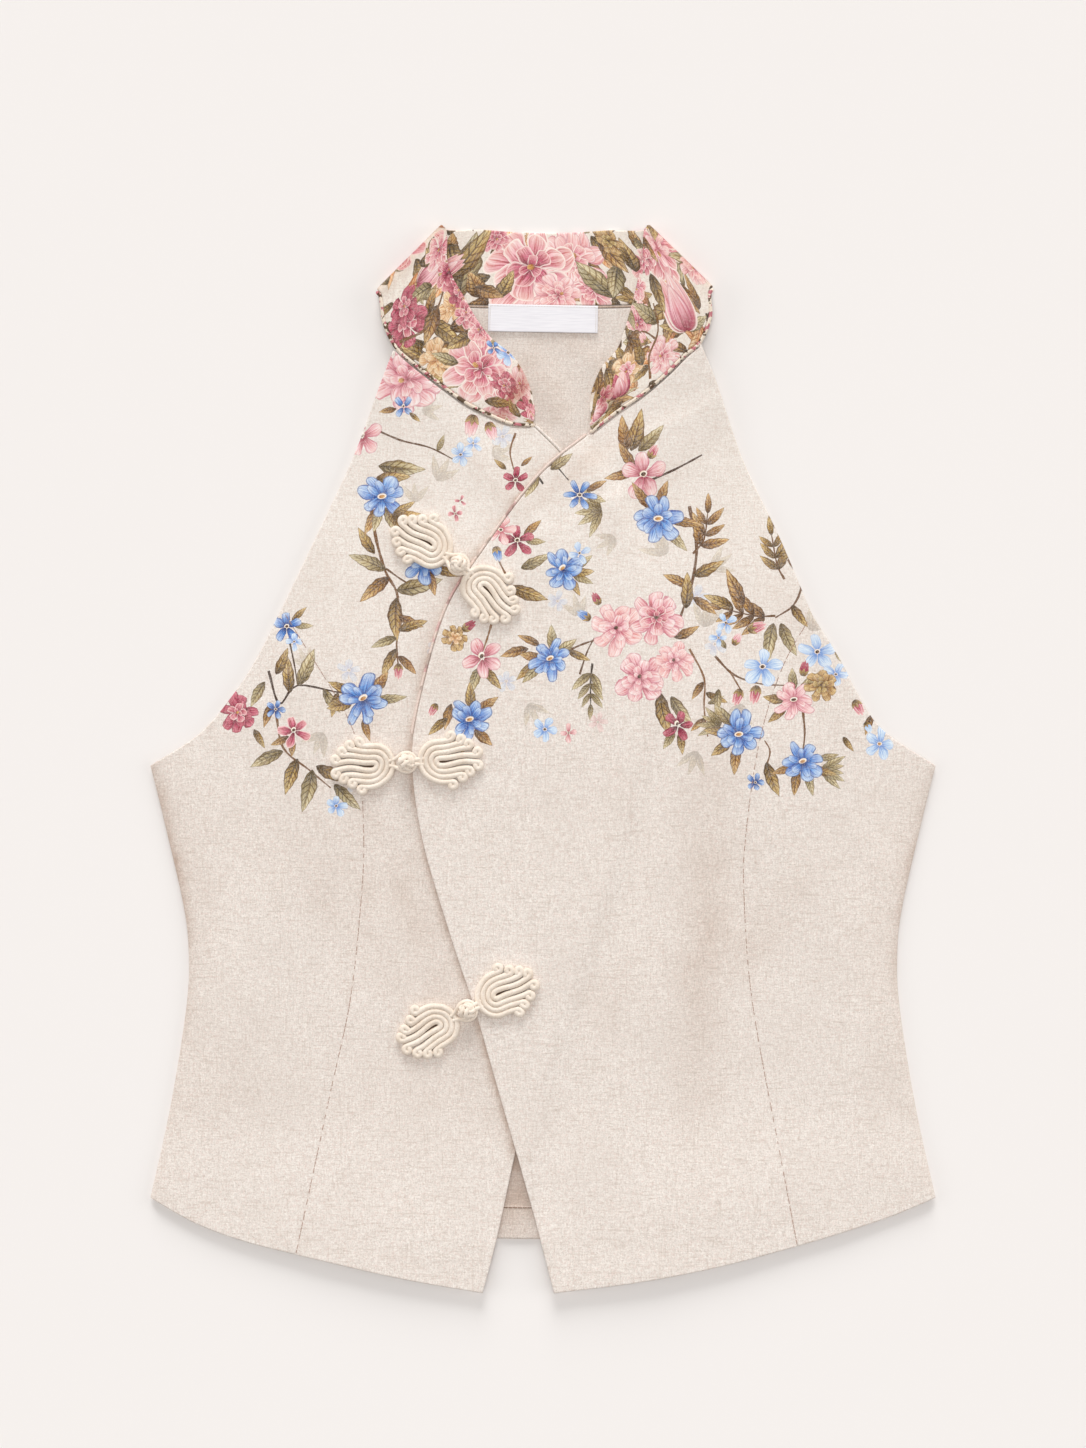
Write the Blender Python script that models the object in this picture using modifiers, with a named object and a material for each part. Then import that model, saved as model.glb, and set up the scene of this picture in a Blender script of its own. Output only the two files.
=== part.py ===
"""Sleeveless halter vest with a standing mandarin collar, laid flat on its back.

The vest lies on the XY plane with its front up: +X is to the wearer's left, +Y to the collar
and +Z up, and the origin is the middle of the outline, on the surface that it rests on.
Tables and sizes are in millimetres. The last step of each shape turns them into metres.
"""

import math
from collections import namedtuple

import bmesh
import bpy
import numpy as np
from mathutils import Vector

METRES = 0.001

# Driving dimensions of the garment
CLOTH = 1.2
COLLAR_CLOTH = 1.8
SEAM_GAP = 0.3
NECK_PIPING_RADIUS = 1.0
EDGE_PIPING_RADIUS = 0.8
BACK_PIPING_RADIUS = 0.6
HEM_TURN_UP = 18.0
TURN_UP_CLOTH = 1.0
LABEL_SIZE = (60.0, 15.0, 1.0)
LABEL_CENTRE = (0.0, 240.6)
LABEL_TURN = -1.0
COLLAR_FOLD_HEIGHT = 8.0
COLLAR_END_HEIGHT = 3.7
COLLAR_FOLD_ANGLES = (30.0, 60.0, 90.0, 120.0, 150.0)
COLLAR_LEAF_STATIONS = 17
COLLAR_BACK_STATIONS = 15
FOLD_REACH = 3.0
COLLAR_CROWN = 0.7
NECK_EDGE_CLEARANCE = 0.6
NECK_PIPING_START = 3
OVERLAP_LIFT = CLOTH + 2 * SEAM_GAP
OVERLAP_REST = 4.0
OVERLAP_DROP = 14.0
OVERLAP_PIPING_FOOT = 12.0
UNDERLAP_PIPING_FOOT = 150.0
TURN_UP_HALF_LENGTH = 208.0
TURN_UP_STEP = (-208.0, 12.0)

# The turned-down roll of a side seam: how far out and how far down, then straight to the floor
Roll = namedtuple("Roll", "out down")
SIDE_ROLL = (Roll(1.1, 0.4), Roll(1.6, 1.3))

# Rows and columns of the fronts' meshes, and where a front edge is level with its princess seam
SEAM_ROWS = 16
ARMHOLE_ROWS = 11
CENTRE_COLUMNS = 13
SIDE_COLUMNS = 8
LEVEL_RIGHT = 70.0
LEVEL_LEFT = 66.0
PIPING_POINTS = 24

# Outlines, bottom to top. Right and left are the wearer's, so right is at -X.
Outline = namedtuple("Outline", "x y")
SIDE_SEAM = (
    Outline(215.0, -240.0),
    Outline(204.0, -190.0),
    Outline(195.5, -137.0),
    Outline(194.0, -108.0),
    Outline(197.0, -80.0),
    Outline(208.5, -30.0),
    Outline(215.0, -4.0),
)
ARMHOLE_RIGHT = (
    Outline(-215.0, -4.0),
    Outline(-187.5, 14.0),
    Outline(-168.0, 37.0),
    Outline(-156.0, 56.0),
    Outline(-143.0, 82.0),
)
ARMHOLE_RIGHT_UPPER = (
    Outline(-143.0, 82.0),
    Outline(-123.0, 123.5),
    Outline(-103.5, 165.5),
    Outline(-89.5, 203.0),
    Outline(-81.0, 225.0),
)
ARMHOLE_LEFT = (
    Outline(215.0, -4.0),
    Outline(186.5, 15.0),
    Outline(173.5, 33.0),
    Outline(162.5, 54.0),
    Outline(147.0, 79.0),
)
ARMHOLE_LEFT_UPPER = (
    Outline(147.0, 79.0),
    Outline(130.0, 119.5),
    Outline(109.5, 163.0),
    Outline(95.0, 205.0),
    Outline(86.0, 227.0),
)
PRINCESS_RIGHT = (
    Outline(-135.0, -271.0),
    Outline(-117.0, -186.0),
    Outline(-105.5, -132.5),
    Outline(-99.5, -78.0),
    Outline(-98.0, -40.0),
    Outline(-101.0, 4.0),
    Outline(-107.5, 24.0),
    Outline(-117.0, 40.5),
    Outline(-143.0, 82.0),
)
PRINCESS_LEFT = (
    Outline(139.0, -266.5),
    Outline(129.5, -216.0),
    Outline(114.5, -133.5),
    Outline(110.0, -78.0),
    Outline(110.5, -45.0),
    Outline(118.0, 8.0),
    Outline(130.5, 49.0),
    Outline(147.0, 79.0),
)
HEM_SIDE_RIGHT = (
    Outline(-215.0, -240.0),
    Outline(-190.0, -254.0),
    Outline(-162.5, -264.0),
    Outline(-135.0, -271.0),
)
HEM_CENTRE_RIGHT = (
    Outline(-135.0, -271.0),
    Outline(-78.0, -284.0),
    Outline(-33.0, -292.0),
)
HEM_SIDE_LEFT = (
    Outline(139.0, -266.5),
    Outline(162.5, -259.5),
    Outline(191.0, -250.0),
    Outline(215.0, -240.0),
)
HEM_CENTRE_LEFT = (
    Outline(6.0, -292.0),
    Outline(53.0, -286.0),
    Outline(97.0, -277.5),
    Outline(139.0, -266.5),
)
UNDERLAP_EDGE = (
    Outline(-33.0, -292.0),
    Outline(-25.0, -261.0),
    Outline(-15.0, -215.5),
    Outline(0.0, -154.0),
    Outline(18.0, -99.5),
    Outline(35.0, -45.0),
    Outline(48.0, 10.0),
    Outline(52.0, 64.5),
    Outline(46.0, 108.0),
    Outline(31.0, 142.0),
    Outline(11.0, 165.5),
    Outline(-5.5, 182.0),
)
OVERLAP_EDGE = (
    Outline(6.0, -292.0),
    Outline(-7.0, -242.0),
    Outline(-22.0, -190.0),
    Outline(-37.0, -138.0),
    Outline(-51.5, -94.0),
    Outline(-66.0, -44.0),
    Outline(-71.5, -2.0),
    Outline(-67.5, 30.5),
    Outline(-53.0, 81.0),
    Outline(-30.5, 117.0),
    Outline(-1.5, 155.0),
    Outline(26.5, 178.5),
)
NECK_SEAM_RIGHT = (
    Outline(-92.0, 255.5),
    Outline(-87.5, 239.0),
    Outline(-81.0, 225.0),
    Outline(-71.5, 216.0),
    Outline(-54.5, 203.0),
    Outline(-42.0, 194.0),
    Outline(-29.0, 187.5),
    Outline(-17.5, 183.0),
    Outline(-5.5, 182.0),
)
COLLAR_TOP_RIGHT = (
    Outline(-55.5, 292.0),
    Outline(-51.0, 267.5),
    Outline(-43.0, 252.0),
    Outline(-35.5, 239.0),
    Outline(-28.0, 229.5),
    Outline(-17.5, 221.0),
    Outline(-11.0, 211.5),
    Outline(-6.5, 200.0),
    Outline(-4.5, 189.0),
)
NECK_SEAM_LEFT = (
    Outline(94.0, 257.0),
    Outline(92.0, 242.0),
    Outline(86.0, 227.0),
    Outline(77.5, 220.0),
    Outline(68.0, 210.5),
    Outline(54.5, 199.0),
    Outline(42.0, 190.5),
    Outline(34.0, 184.5),
    Outline(26.5, 178.5),
)
COLLAR_TOP_LEFT = (
    Outline(58.0, 292.0),
    Outline(52.5, 265.0),
    Outline(48.5, 248.0),
    Outline(44.5, 234.0),
    Outline(40.5, 223.5),
    Outline(33.0, 215.0),
    Outline(28.5, 205.5),
    Outline(26.0, 196.0),
    Outline(26.0, 185.0),
)
NECK_SEAM_BACK = (
    Outline(-92.0, 255.5),
    Outline(-70.0, 249.5),
    Outline(-39.5, 247.5),
    Outline(0.0, 247.0),
    Outline(47.5, 247.5),
    Outline(74.0, 250.0),
    Outline(94.0, 257.0),
)
COLLAR_TOP_BACK = (
    Outline(-55.5, 292.0),
    Outline(-28.0, 289.0),
    Outline(2.0, 287.5),
    Outline(34.0, 289.0),
    Outline(58.0, 292.0),
)
BACK_ARMHOLE_INSET = 4.0
BACK_HEM_SIDE = -240.0
BACK_HEM_CENTRE = -263.0
BACK_NECK_CORNERS = (-76.0, 79.0)
BACK_PIPING_ENDS = (-58.0, 61.0)

# Soft ridges in the fronts: centre, half length along the turned axis, half width, height
Fold = namedtuple("Fold", "name x y length width turn height")
FOLDS = (
    Fold("bust right", -120.0, 5.0, 70.0, 45.0, 80.0, 1.5),
    Fold("bust left", 125.0, 0.0, 75.0, 50.0, 100.0, 1.6),
    Fold("front fall", 55.0, -110.0, 130.0, 32.0, 84.0, 1.1),
    Fold("waist ridge", 88.0, -70.0, 80.0, 14.0, 96.0, 0.7),
    Fold("waist right", -160.0, -120.0, 70.0, 22.0, 75.0, 0.8),
    Fold("waist left", 165.0, -125.0, 75.0, 24.0, 106.0, 0.8),
    Fold("hem right", -85.0, -262.0, 70.0, 28.0, -12.0, 1.7),
    Fold("hem left", 80.0, -258.0, 75.0, 28.0, 12.0, 1.7),
    Fold("neck drape", 50.0, 165.0, 46.0, 9.0, 32.0, 0.9),
    Fold("neck drape low", 20.0, 122.0, 52.0, 11.0, 38.0, 0.7),
    Fold("collar end", -30.0, 158.0, 34.0, 9.0, -52.0, 0.7),
    Fold("shoulder right", -81.0, 225.0, 42.0, 42.0, 0.0, 3.9),
    Fold("shoulder left", 86.0, 227.0, 42.0, 42.0, 0.0, 3.9),
)

# Frog closures, one row each: where the knot sits, and which way the two scrolls point from it
Frog = namedtuple("Frog", "name x y loop_turn knot_turn")
FROGS = (
    Frog("neck", -46.0, 106.0, 146.0, -44.0),
    Frog("bust", -74.5, -2.0, 181.0, 5.0),
    Frog("waist", -41.5, -137.5, 213.0, 29.0),
)
FROG_CORD_RADIUS = 1.3
FROG_PITCH = 3.1
FROG_INNER_BEND = 2.0
FROG_CURL_RADIUS = 1.6
FROG_CURL_SWEEP = (-90.0, -25.0, 40.0, 105.0)
FROG_STEM_RADIUS = 1.0
FROG_LEG_ENDS = (31.0, 26.8, 22.0, 17.2)
FROG_BEND_POINTS = (3, 4, 5, 6)
KNOT_RADIUS = 5.0
KNOT_FLATNESS = 0.9
KNOT_FOOT = (-3.0, 0.0, 3.0)
LOOP_RING_RADIUS = KNOT_RADIUS + 0.75
LOOP_BELOW_KNOT_CENTRE = 2.8
LOOP_HALF_WIDTH = 1.4
SCROLL_FROM_KNOT = 7.6
SCROLL_HALF_WIDTH = FROG_INNER_BEND + 3 * FROG_PITCH + FROG_CORD_RADIUS

LINEN = (0.80, 0.72, 0.65)
PRINTED = (0.78, 0.58, 0.52)
CORD = (0.90, 0.80, 0.66)
WHITE = (0.88, 0.87, 0.90)


def clear_scene():
    for obj in list(bpy.data.objects):
        bpy.data.objects.remove(obj)


def material(name, colour, roughness=0.9):
    made = bpy.data.materials.new(name)
    made.use_nodes = True
    shader = made.node_tree.nodes["Principled BSDF"]
    shader.inputs["Base Color"].default_value = (*colour, 1.0)
    shader.inputs["Roughness"].default_value = roughness
    shader.inputs["Metallic"].default_value = 0.0
    return made


def curve_through(rows, steps=12):
    """A dense polyline through the rows of a table, as a Catmull-Rom curve."""
    p = np.array([(row.x, row.y) for row in rows])
    p = np.vstack([2 * p[0] - p[1], p, 2 * p[-1] - p[-2]])
    t = np.linspace(0, 1, steps, endpoint=False)[:, None]
    dense = [
        0.5 * (2 * b + (c - a) * t + (2 * a - 5 * b + 4 * c - d) * t**2 + (3 * b - a - 3 * c + d) * t**3)
        for a, b, c, d in zip(p, p[1:], p[2:], p[3:])
    ]
    return np.vstack(dense + [p[-2:-1]])


def evenly(line, count):
    """count points along a polyline, evenly spaced by length."""
    step = np.linalg.norm(np.diff(line, axis=0), axis=1)
    along = np.concatenate([[0.0], np.cumsum(step)])
    wanted = np.linspace(0, along[-1], count)
    return np.column_stack([np.interp(wanted, along, column) for column in line.T])


def offset(line, distance):
    """A polyline moved to the left of its own direction by distance."""
    tangent = np.gradient(line, axis=0)
    tangent /= np.linalg.norm(tangent, axis=1)[:, None]
    return line + distance * np.column_stack([-tangent[:, 1], tangent[:, 0]])


def mirrored(rows):
    return tuple(Outline(-row.x, row.y) for row in rows)


def split_at_height(line, y):
    """The lower and upper parts of a rising polyline, with a shared point at that height."""
    at = int(np.searchsorted(line[:, 1], y))
    share = (y - line[at - 1, 1]) / (line[at, 1] - line[at - 1, 1])
    joint = line[at - 1] + share * (line[at] - line[at - 1])
    return np.vstack([line[:at], joint]), np.vstack([joint, line[at:]])


def joined(*lines):
    return np.vstack([lines[0]] + [line[1:] for line in lines[1:]])


def smooth_step(value):
    t = np.clip(value, 0.0, 1.0)
    return t * t * (3 - 2 * t)


def fold_heights(x, y):
    """Summed height of the soft ridges at (x, y)."""
    total = 0.0
    for fold in FOLDS:
        turn = math.radians(fold.turn)
        along = (x - fold.x) * math.cos(turn) + (y - fold.y) * math.sin(turn)
        across = (y - fold.y) * math.cos(turn) - (x - fold.x) * math.sin(turn)
        total = total + fold.height * np.exp(-((along / fold.length) ** 2) - (across / fold.width) ** 2)
    return total


def front_top(x, y):
    """Height of the upper face of a front that lies on the back."""
    foot, length = TURN_UP_STEP
    over_turn_up = (TURN_UP_CLOTH + SEAM_GAP) * smooth_step((foot - y) / length)
    return CLOTH + SEAM_GAP + CLOTH + over_turn_up + fold_heights(x, y)


def distance_right_of(line, x, y):
    """Signed distance from (x, y) to a rising polyline, positive on its right."""
    x, y = np.broadcast_arrays(np.asarray(x, float), np.asarray(y, float))
    start, step = line[:-1], np.diff(line, axis=0)
    to_x, to_y = x[..., None] - start[:, 0], y[..., None] - start[:, 1]
    share = np.clip((to_x * step[:, 0] + to_y * step[:, 1]) / (step**2).sum(axis=1), 0, 1)
    away_x, away_y = to_x - share * step[:, 0], to_y - share * step[:, 1]
    distance = np.hypot(away_x, away_y)
    nearest = distance.argmin(axis=-1)[..., None]
    side = np.sign(away_x * step[:, 1] - away_y * step[:, 0])
    return (np.take_along_axis(distance, nearest, -1) * np.take_along_axis(side, nearest, -1))[..., 0]


def overlap_top(x, y):
    """Height of the upper face of the left front, which passes over the underlap and its piping."""
    beyond = distance_right_of(curve_through(UNDERLAP_EDGE, 4), x, y)
    return front_top(x, y) + OVERLAP_LIFT * (1 - smooth_step((beyond - OVERLAP_REST) / OVERLAP_DROP))


def grid_object(name, points, cloth, collection, look):
    """A smooth open surface through rows of points, given a wall below it by Solidify."""
    rows, columns = points.shape[:2]
    mesh = bpy.data.meshes.new(name)
    bm = bmesh.new()
    verts = [[bm.verts.new(Vector(p) * METRES) for p in row] for row in points]
    for r in range(rows - 1):
        for c in range(columns - 1):
            bm.faces.new((verts[r][c], verts[r][c + 1], verts[r + 1][c + 1], verts[r + 1][c]))
    bm.to_mesh(mesh)
    bm.free()
    mesh.shade_smooth()
    obj = bpy.data.objects.new(name, mesh)
    wall = obj.modifiers.new("Wall", "SOLIDIFY")
    wall.thickness = cloth * METRES
    wall.offset = -1.0
    wall.use_even_offset = True
    return finished(obj, collection, look)


def finished(obj, collection, look):
    collection.objects.link(obj)
    obj.data.materials.append(look)
    return obj


def patch(bottom, top, left, right):
    """Coons patch between four plan curves: rows run from left to right, bottom to top."""
    rows, columns = len(left), len(bottom)
    s = np.linspace(0, 1, columns)[None, :, None]
    t = np.linspace(0, 1, rows)[:, None, None]
    ruled = (1 - s) * left[:, None] + s * right[:, None] + (1 - t) * bottom[None] + t * top[None]
    corners = (1 - t) * ((1 - s) * bottom[0] + s * bottom[-1]) + t * ((1 - s) * top[0] + s * top[-1])
    return ruled - corners


def raised(plan, top):
    """Plan points with the height of a surface added."""
    return np.dstack([plan, top(plan[..., 0], plan[..., 1])])


def rolled_side(points, outward):
    """Adds the roll of a side seam and its foot as more columns beyond column 0 or -1."""
    edge = points[:, 0] if outward < 0 else points[:, -1]
    roll = [edge + (outward * row.out, 0.0, -row.down) for row in SIDE_ROLL]
    foot = roll[-1].copy()
    foot[:, 2] = SEAM_GAP
    extra = np.stack([*roll, foot], axis=1)
    return np.hstack([extra[:, ::-1], points]) if outward < 0 else np.hstack([points, extra])


def centre_front(name, edge, neck, armhole, seam, hem, level, edge_on_right, top, parts, look):
    """A centre front between its front edge and its princess seam and armhole."""
    seam = offset(curve_through(seam), 0.5 * SEAM_GAP * (-1 if edge_on_right else 1))
    outer = joined(evenly(seam, SEAM_ROWS), evenly(curve_through(armhole), ARMHOLE_ROWS))
    lower, upper = split_at_height(curve_through(edge), level)
    inner = joined(evenly(lower, SEAM_ROWS), evenly(upper, ARMHOLE_ROWS))
    hem_line = evenly(curve_through(hem), CENTRE_COLUMNS)
    neck_line = evenly(neck, CENTRE_COLUMNS)
    left, right = (outer, inner) if edge_on_right else (inner, outer)
    for line, row in ((hem_line, 0), (neck_line, -1)):
        left[row], right[row] = line[0], line[-1]
    return grid_object(name, raised(patch(hem_line, neck_line, left, right), top), CLOTH, parts, look)


def side_front(name, side, armhole, seam, hem, outward, parts, look):
    """A side front between its side seam and its princess seam."""
    side_line = evenly(curve_through(side), SEAM_ROWS) - (outward * SIDE_ROLL[-1].out, 0.0)
    seam_line = evenly(offset(curve_through(seam), 0.5 * SEAM_GAP * -outward), SEAM_ROWS)
    hem_line = evenly(curve_through(hem), SIDE_COLUMNS)
    armhole_line = evenly(curve_through(armhole), SIDE_COLUMNS)
    if outward < 0:
        left, right = side_line, seam_line
    else:
        left, right = seam_line, side_line
        armhole_line = armhole_line[::-1]
    for line, row in ((hem_line, 0), (armhole_line, -1)):
        line[0], line[-1] = left[row], right[row]
    points = raised(patch(hem_line, armhole_line, left, right), front_top)
    return grid_object(name, rolled_side(points, outward), CLOTH, parts, look)


def neck_line_of(seam, from_row):
    """The neck edge of a front, a piping's width below the seam, from the armhole to the collar's end."""
    line = evenly(curve_through(seam[from_row:]), 60)
    side = 1 if line[0, 0] > line[-1, 0] else -1
    return offset(line, side * (NECK_PIPING_RADIUS + NECK_EDGE_CLEARANCE))


def back_hem(x):
    share = np.clip(np.abs(x) / SIDE_SEAM[0].x, 0, 1)
    return BACK_HEM_CENTRE + (BACK_HEM_SIDE - BACK_HEM_CENTRE) * share**2


def back_outline():
    """The outline of the back, anticlockwise from the hem's right corner."""
    inset = CLOTH + SEAM_GAP
    hem_x = np.linspace(-SIDE_SEAM[0].x + inset, SIDE_SEAM[0].x - inset, 25)
    hem = np.column_stack([hem_x, back_hem(hem_x)])
    left_side = evenly(curve_through(SIDE_SEAM), 14) - (inset, 0.0)
    left_arm = joined(curve_through(ARMHOLE_LEFT), curve_through(ARMHOLE_LEFT_UPPER))
    right_side = left_side * (-1, 1)
    right_arm = joined(curve_through(ARMHOLE_RIGHT), curve_through(ARMHOLE_RIGHT_UPPER))
    neck = offset(curve_through(NECK_SEAM_BACK), -(BACK_PIPING_RADIUS + SEAM_GAP))
    neck = neck[(neck[:, 0] > BACK_NECK_CORNERS[0]) & (neck[:, 0] < BACK_NECK_CORNERS[1])]
    left_arm = evenly(offset(left_arm, BACK_ARMHOLE_INSET), 24)[1:]
    right_arm = evenly(offset(right_arm, -BACK_ARMHOLE_INSET), 24)[1:]
    neck = evenly(neck, 12)[::-1]
    return np.vstack([hem[:-1], left_side, left_arm, neck, right_arm[::-1], right_side[:0:-1]])


def flat_cloth(name, outline, bottom, thickness, parts, look):
    """A flat piece of cloth: a filled plan curve, extruded by half its thickness each way."""
    curve = bpy.data.curves.new(name, "CURVE")
    curve.dimensions = "2D"
    curve.fill_mode = "BOTH"
    curve.extrude = 0.5 * thickness * METRES
    spline = curve.splines.new("POLY")
    spline.points.add(len(outline) - 1)
    for point, (x, y) in zip(spline.points, outline):
        point.co = (x * METRES, y * METRES, 0.0, 1.0)
    spline.use_cyclic_u = True
    obj = bpy.data.objects.new(name, curve)
    obj.location.z = (bottom + 0.5 * thickness) * METRES
    return finished(obj, parts, look)


def tube(name, points, radius, collection, look):
    """A cord or piping: a bevelled poly curve with filled caps."""
    curve = bpy.data.curves.new(name, "CURVE")
    curve.dimensions = "3D"
    curve.bevel_depth = radius * METRES
    curve.bevel_resolution = 1
    curve.use_fill_caps = True
    spline = curve.splines.new("POLY")
    spline.points.add(len(points) - 1)
    for point, co in zip(spline.points, points):
        point.co = (*(Vector(co) * METRES), 1.0)
    return finished(bpy.data.objects.new(name, curve), collection, look)


def collar_leaf_height(share):
    """Height of the upper face of a collar leaf, from its side fold (0) to its front end (1)."""
    return COLLAR_FOLD_HEIGHT + (COLLAR_END_HEIGHT - COLLAR_FOLD_HEIGHT) * smooth_step(share)


def eased(line, shift, reach=FOLD_REACH):
    """A line whose first point is moved by shift, and the next few ever less."""
    fade = 1 - smooth_step(np.arange(len(line)) / reach)
    return line + fade[:, None] * np.append(shift, np.zeros(line.shape[1] - len(shift)))


def collar_leaf(seam_rows, top_rows):
    """The seam and top lines of a front leaf's outer face, from its fold to its end."""
    seam = evenly(curve_through(seam_rows), COLLAR_LEAF_STATIONS)
    top = evenly(curve_through(top_rows), COLLAR_LEAF_STATIONS)
    width = np.linalg.norm(top - seam, axis=1)[:, None]
    seam = seam + (top - seam) / width * (NECK_PIPING_RADIUS + SEAM_GAP)
    height = collar_leaf_height(np.linspace(0, 1, COLLAR_LEAF_STATIONS))
    return np.column_stack([seam, height]), np.column_stack([top, height])


def collar_half(leaf, back, outward):
    """Seam and top lines from the middle of the back, round one side's fold, to the front end."""
    radius = 0.5 * COLLAR_FOLD_HEIGHT
    fold = leaf[1][0, :2] - leaf[0][0, :2]
    normal = outward * np.array([fold[1], -fold[0]]) / np.linalg.norm(fold)
    lines = []
    for front_line, back_line in zip(leaf, back):
        front_line = eased(front_line, -normal * radius)
        bend = [
            front_line[0] + np.append(normal * radius * math.sin(angle), radius * (math.cos(angle) - 1))
            for angle in np.radians(COLLAR_FOLD_ANGLES)
        ]
        back_line = eased(back_line, front_line[0, :2] - back_line[0, :2])
        lines.append(np.vstack([back_line[::-1], bend[::-1], front_line]))
    return lines


def collar_lines():
    """Seam and top lines of the collar's outer face, from the right end round to the left end."""
    seam = evenly(curve_through(NECK_SEAM_BACK), COLLAR_BACK_STATIONS)
    seam = seam + (0.0, BACK_PIPING_RADIUS + SEAM_GAP)
    top = evenly(curve_through(COLLAR_TOP_BACK), COLLAR_BACK_STATIONS)
    floor = np.zeros((COLLAR_BACK_STATIONS, 1))
    middle = COLLAR_BACK_STATIONS // 2 + 1
    from_right = [np.hstack([line, floor])[:middle] for line in (seam, top)]
    from_left = [np.hstack([line, floor])[::-1][:middle] for line in (seam, top)]
    right = collar_half(collar_leaf(NECK_SEAM_RIGHT, COLLAR_TOP_RIGHT), from_right, -1)
    left = collar_half(collar_leaf(NECK_SEAM_LEFT, COLLAR_TOP_LEFT), from_left, 1)
    return [joined(r[::-1], l) for r, l in zip(right, left)]


def make_collar(parts, look):
    """The stand collar: one band that folds over at both sides of the neck."""
    seam, top = collar_lines()
    across = np.linspace(0, 1, 5)[None, :, None]
    points = seam[:, None] * (1 - across) + top[:, None] * across
    on_leaf = np.clip(points[..., 2] - COLLAR_CLOTH, 0, 1)
    points[..., 2] += COLLAR_CROWN * np.sin(np.pi * across[..., 0]) * on_leaf
    return grid_object("collar", points, COLLAR_CLOTH, parts, look)


def make_pipings(parts, printed, plain):
    below_face = 0.5 * COLLAR_CLOTH + 0.2
    inward = 0.35 * COLLAR_FOLD_HEIGHT
    reach = FOLD_REACH * PIPING_POINTS / COLLAR_LEAF_STATIONS
    for name, rows in (("neck_piping_right", NECK_SEAM_RIGHT), ("neck_piping_left", NECK_SEAM_LEFT)):
        line = evenly(curve_through(rows), PIPING_POINTS)
        height = collar_leaf_height(np.linspace(0, 1, PIPING_POINTS)) - below_face
        line = eased(line, (-math.copysign(inward, rows[0].x), -inward), reach)
        line = np.column_stack([line, height])[NECK_PIPING_START:]
        tube(name, line, NECK_PIPING_RADIUS, parts, printed)
    back = curve_through(NECK_SEAM_BACK)
    back = back[(back[:, 0] > BACK_PIPING_ENDS[0]) & (back[:, 0] < BACK_PIPING_ENDS[1])]
    back = evenly(back, 12)
    height = np.full(len(back), BACK_PIPING_RADIUS + 0.1)
    tube("neck_piping_back", np.column_stack([back, height]), BACK_PIPING_RADIUS, parts, printed)
    clear = EDGE_PIPING_RADIUS + SEAM_GAP
    overlap = curve_through(OVERLAP_EDGE)
    overlap = evenly(offset(overlap[overlap[:, 1] > OVERLAP_PIPING_FOOT], clear), 30)[:-1]
    height = overlap_top(*overlap.T) - 0.5 * CLOTH
    tube("overlap_piping", np.column_stack([overlap, height]), EDGE_PIPING_RADIUS, parts, printed)
    under = curve_through(UNDERLAP_EDGE)
    under = evenly(offset(under[under[:, 1] > UNDERLAP_PIPING_FOOT], -clear), 8)[:-1]
    height = front_top(*under.T) - 0.5 * CLOTH - 0.1
    tube("underlap_piping", np.column_stack([under, height]), EDGE_PIPING_RADIUS, parts, plain)


def make_label(parts, look):
    bpy.ops.mesh.primitive_cube_add(size=1.0)
    label = bpy.context.object
    label.name = label.data.name = "neck_label"
    for other in label.users_collection:
        other.objects.unlink(label)
    label.scale = Vector(LABEL_SIZE) * METRES
    bottom = COLLAR_CLOTH + SEAM_GAP
    label.location = Vector((*LABEL_CENTRE, bottom + 0.5 * LABEL_SIZE[2])) * METRES
    label.rotation_euler.z = math.radians(LABEL_TURN)
    return finished(label, parts, look)


def scroll_frame(frog, turn):
    """Maps a scroll's own plane to the garment: its axis leaves the knot at the given turn."""
    cos, sin = math.cos(math.radians(turn)), math.sin(math.radians(turn))

    def place(along, across):
        return frog.x + along * cos - across * sin, frog.y + along * sin + across * cos

    return place


def scroll_cord(level):
    """Plan points of one bent cord of a scroll, along and across its axis, with a curl at each end."""
    bend = FROG_INNER_BEND + level * FROG_PITCH
    centre = SCROLL_FROM_KNOT + SCROLL_HALF_WIDTH
    leg_end = SCROLL_FROM_KNOT + FROG_LEG_ENDS[level]
    curl = [
        (
            leg_end + FROG_CURL_RADIUS * math.cos(math.radians(angle)),
            bend + FROG_CURL_RADIUS + FROG_CURL_RADIUS * math.sin(math.radians(angle)),
        )
        for angle in FROG_CURL_SWEEP[::-1]
    ]
    angles = np.linspace(90, 270, FROG_BEND_POINTS[level])
    arc = [(centre + bend * math.cos(a), bend * math.sin(a)) for a in np.radians(angles)]
    return curl + arc + [(along, -across) for along, across in curl[::-1]]


def on_surface(plan, top, clearance):
    """Points lifted above a surface, high enough to clear its highest point close by."""
    reach = FROG_CORD_RADIUS
    around = [(0, 0), (reach, 0), (-reach, 0), (0, reach), (0, -reach)]
    return [(x, y, max(top(x + dx, y + dy) for dx, dy in around) + clearance) for x, y in plan]


def mesh_from(obj, helpers):
    """The curve object as a mesh object with welded caps, in the helpers collection."""
    bpy.context.view_layer.update()
    graph = bpy.context.evaluated_depsgraph_get()
    mesh = bpy.data.meshes.new_from_object(obj.evaluated_get(graph))
    bm = bmesh.new()
    bm.from_mesh(mesh)
    bmesh.ops.remove_doubles(bm, verts=bm.verts, dist=1e-6)
    bmesh.ops.recalc_face_normals(bm, faces=bm.faces)
    bm.to_mesh(mesh)
    bm.free()
    name = obj.name
    made = bpy.data.objects.new(name + "_mesh", mesh)
    made.matrix_world = obj.matrix_world
    bpy.data.objects.remove(obj)
    helpers.objects.link(made)
    made.hide_render = True
    made.display_type = "WIRE"
    return made


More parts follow.
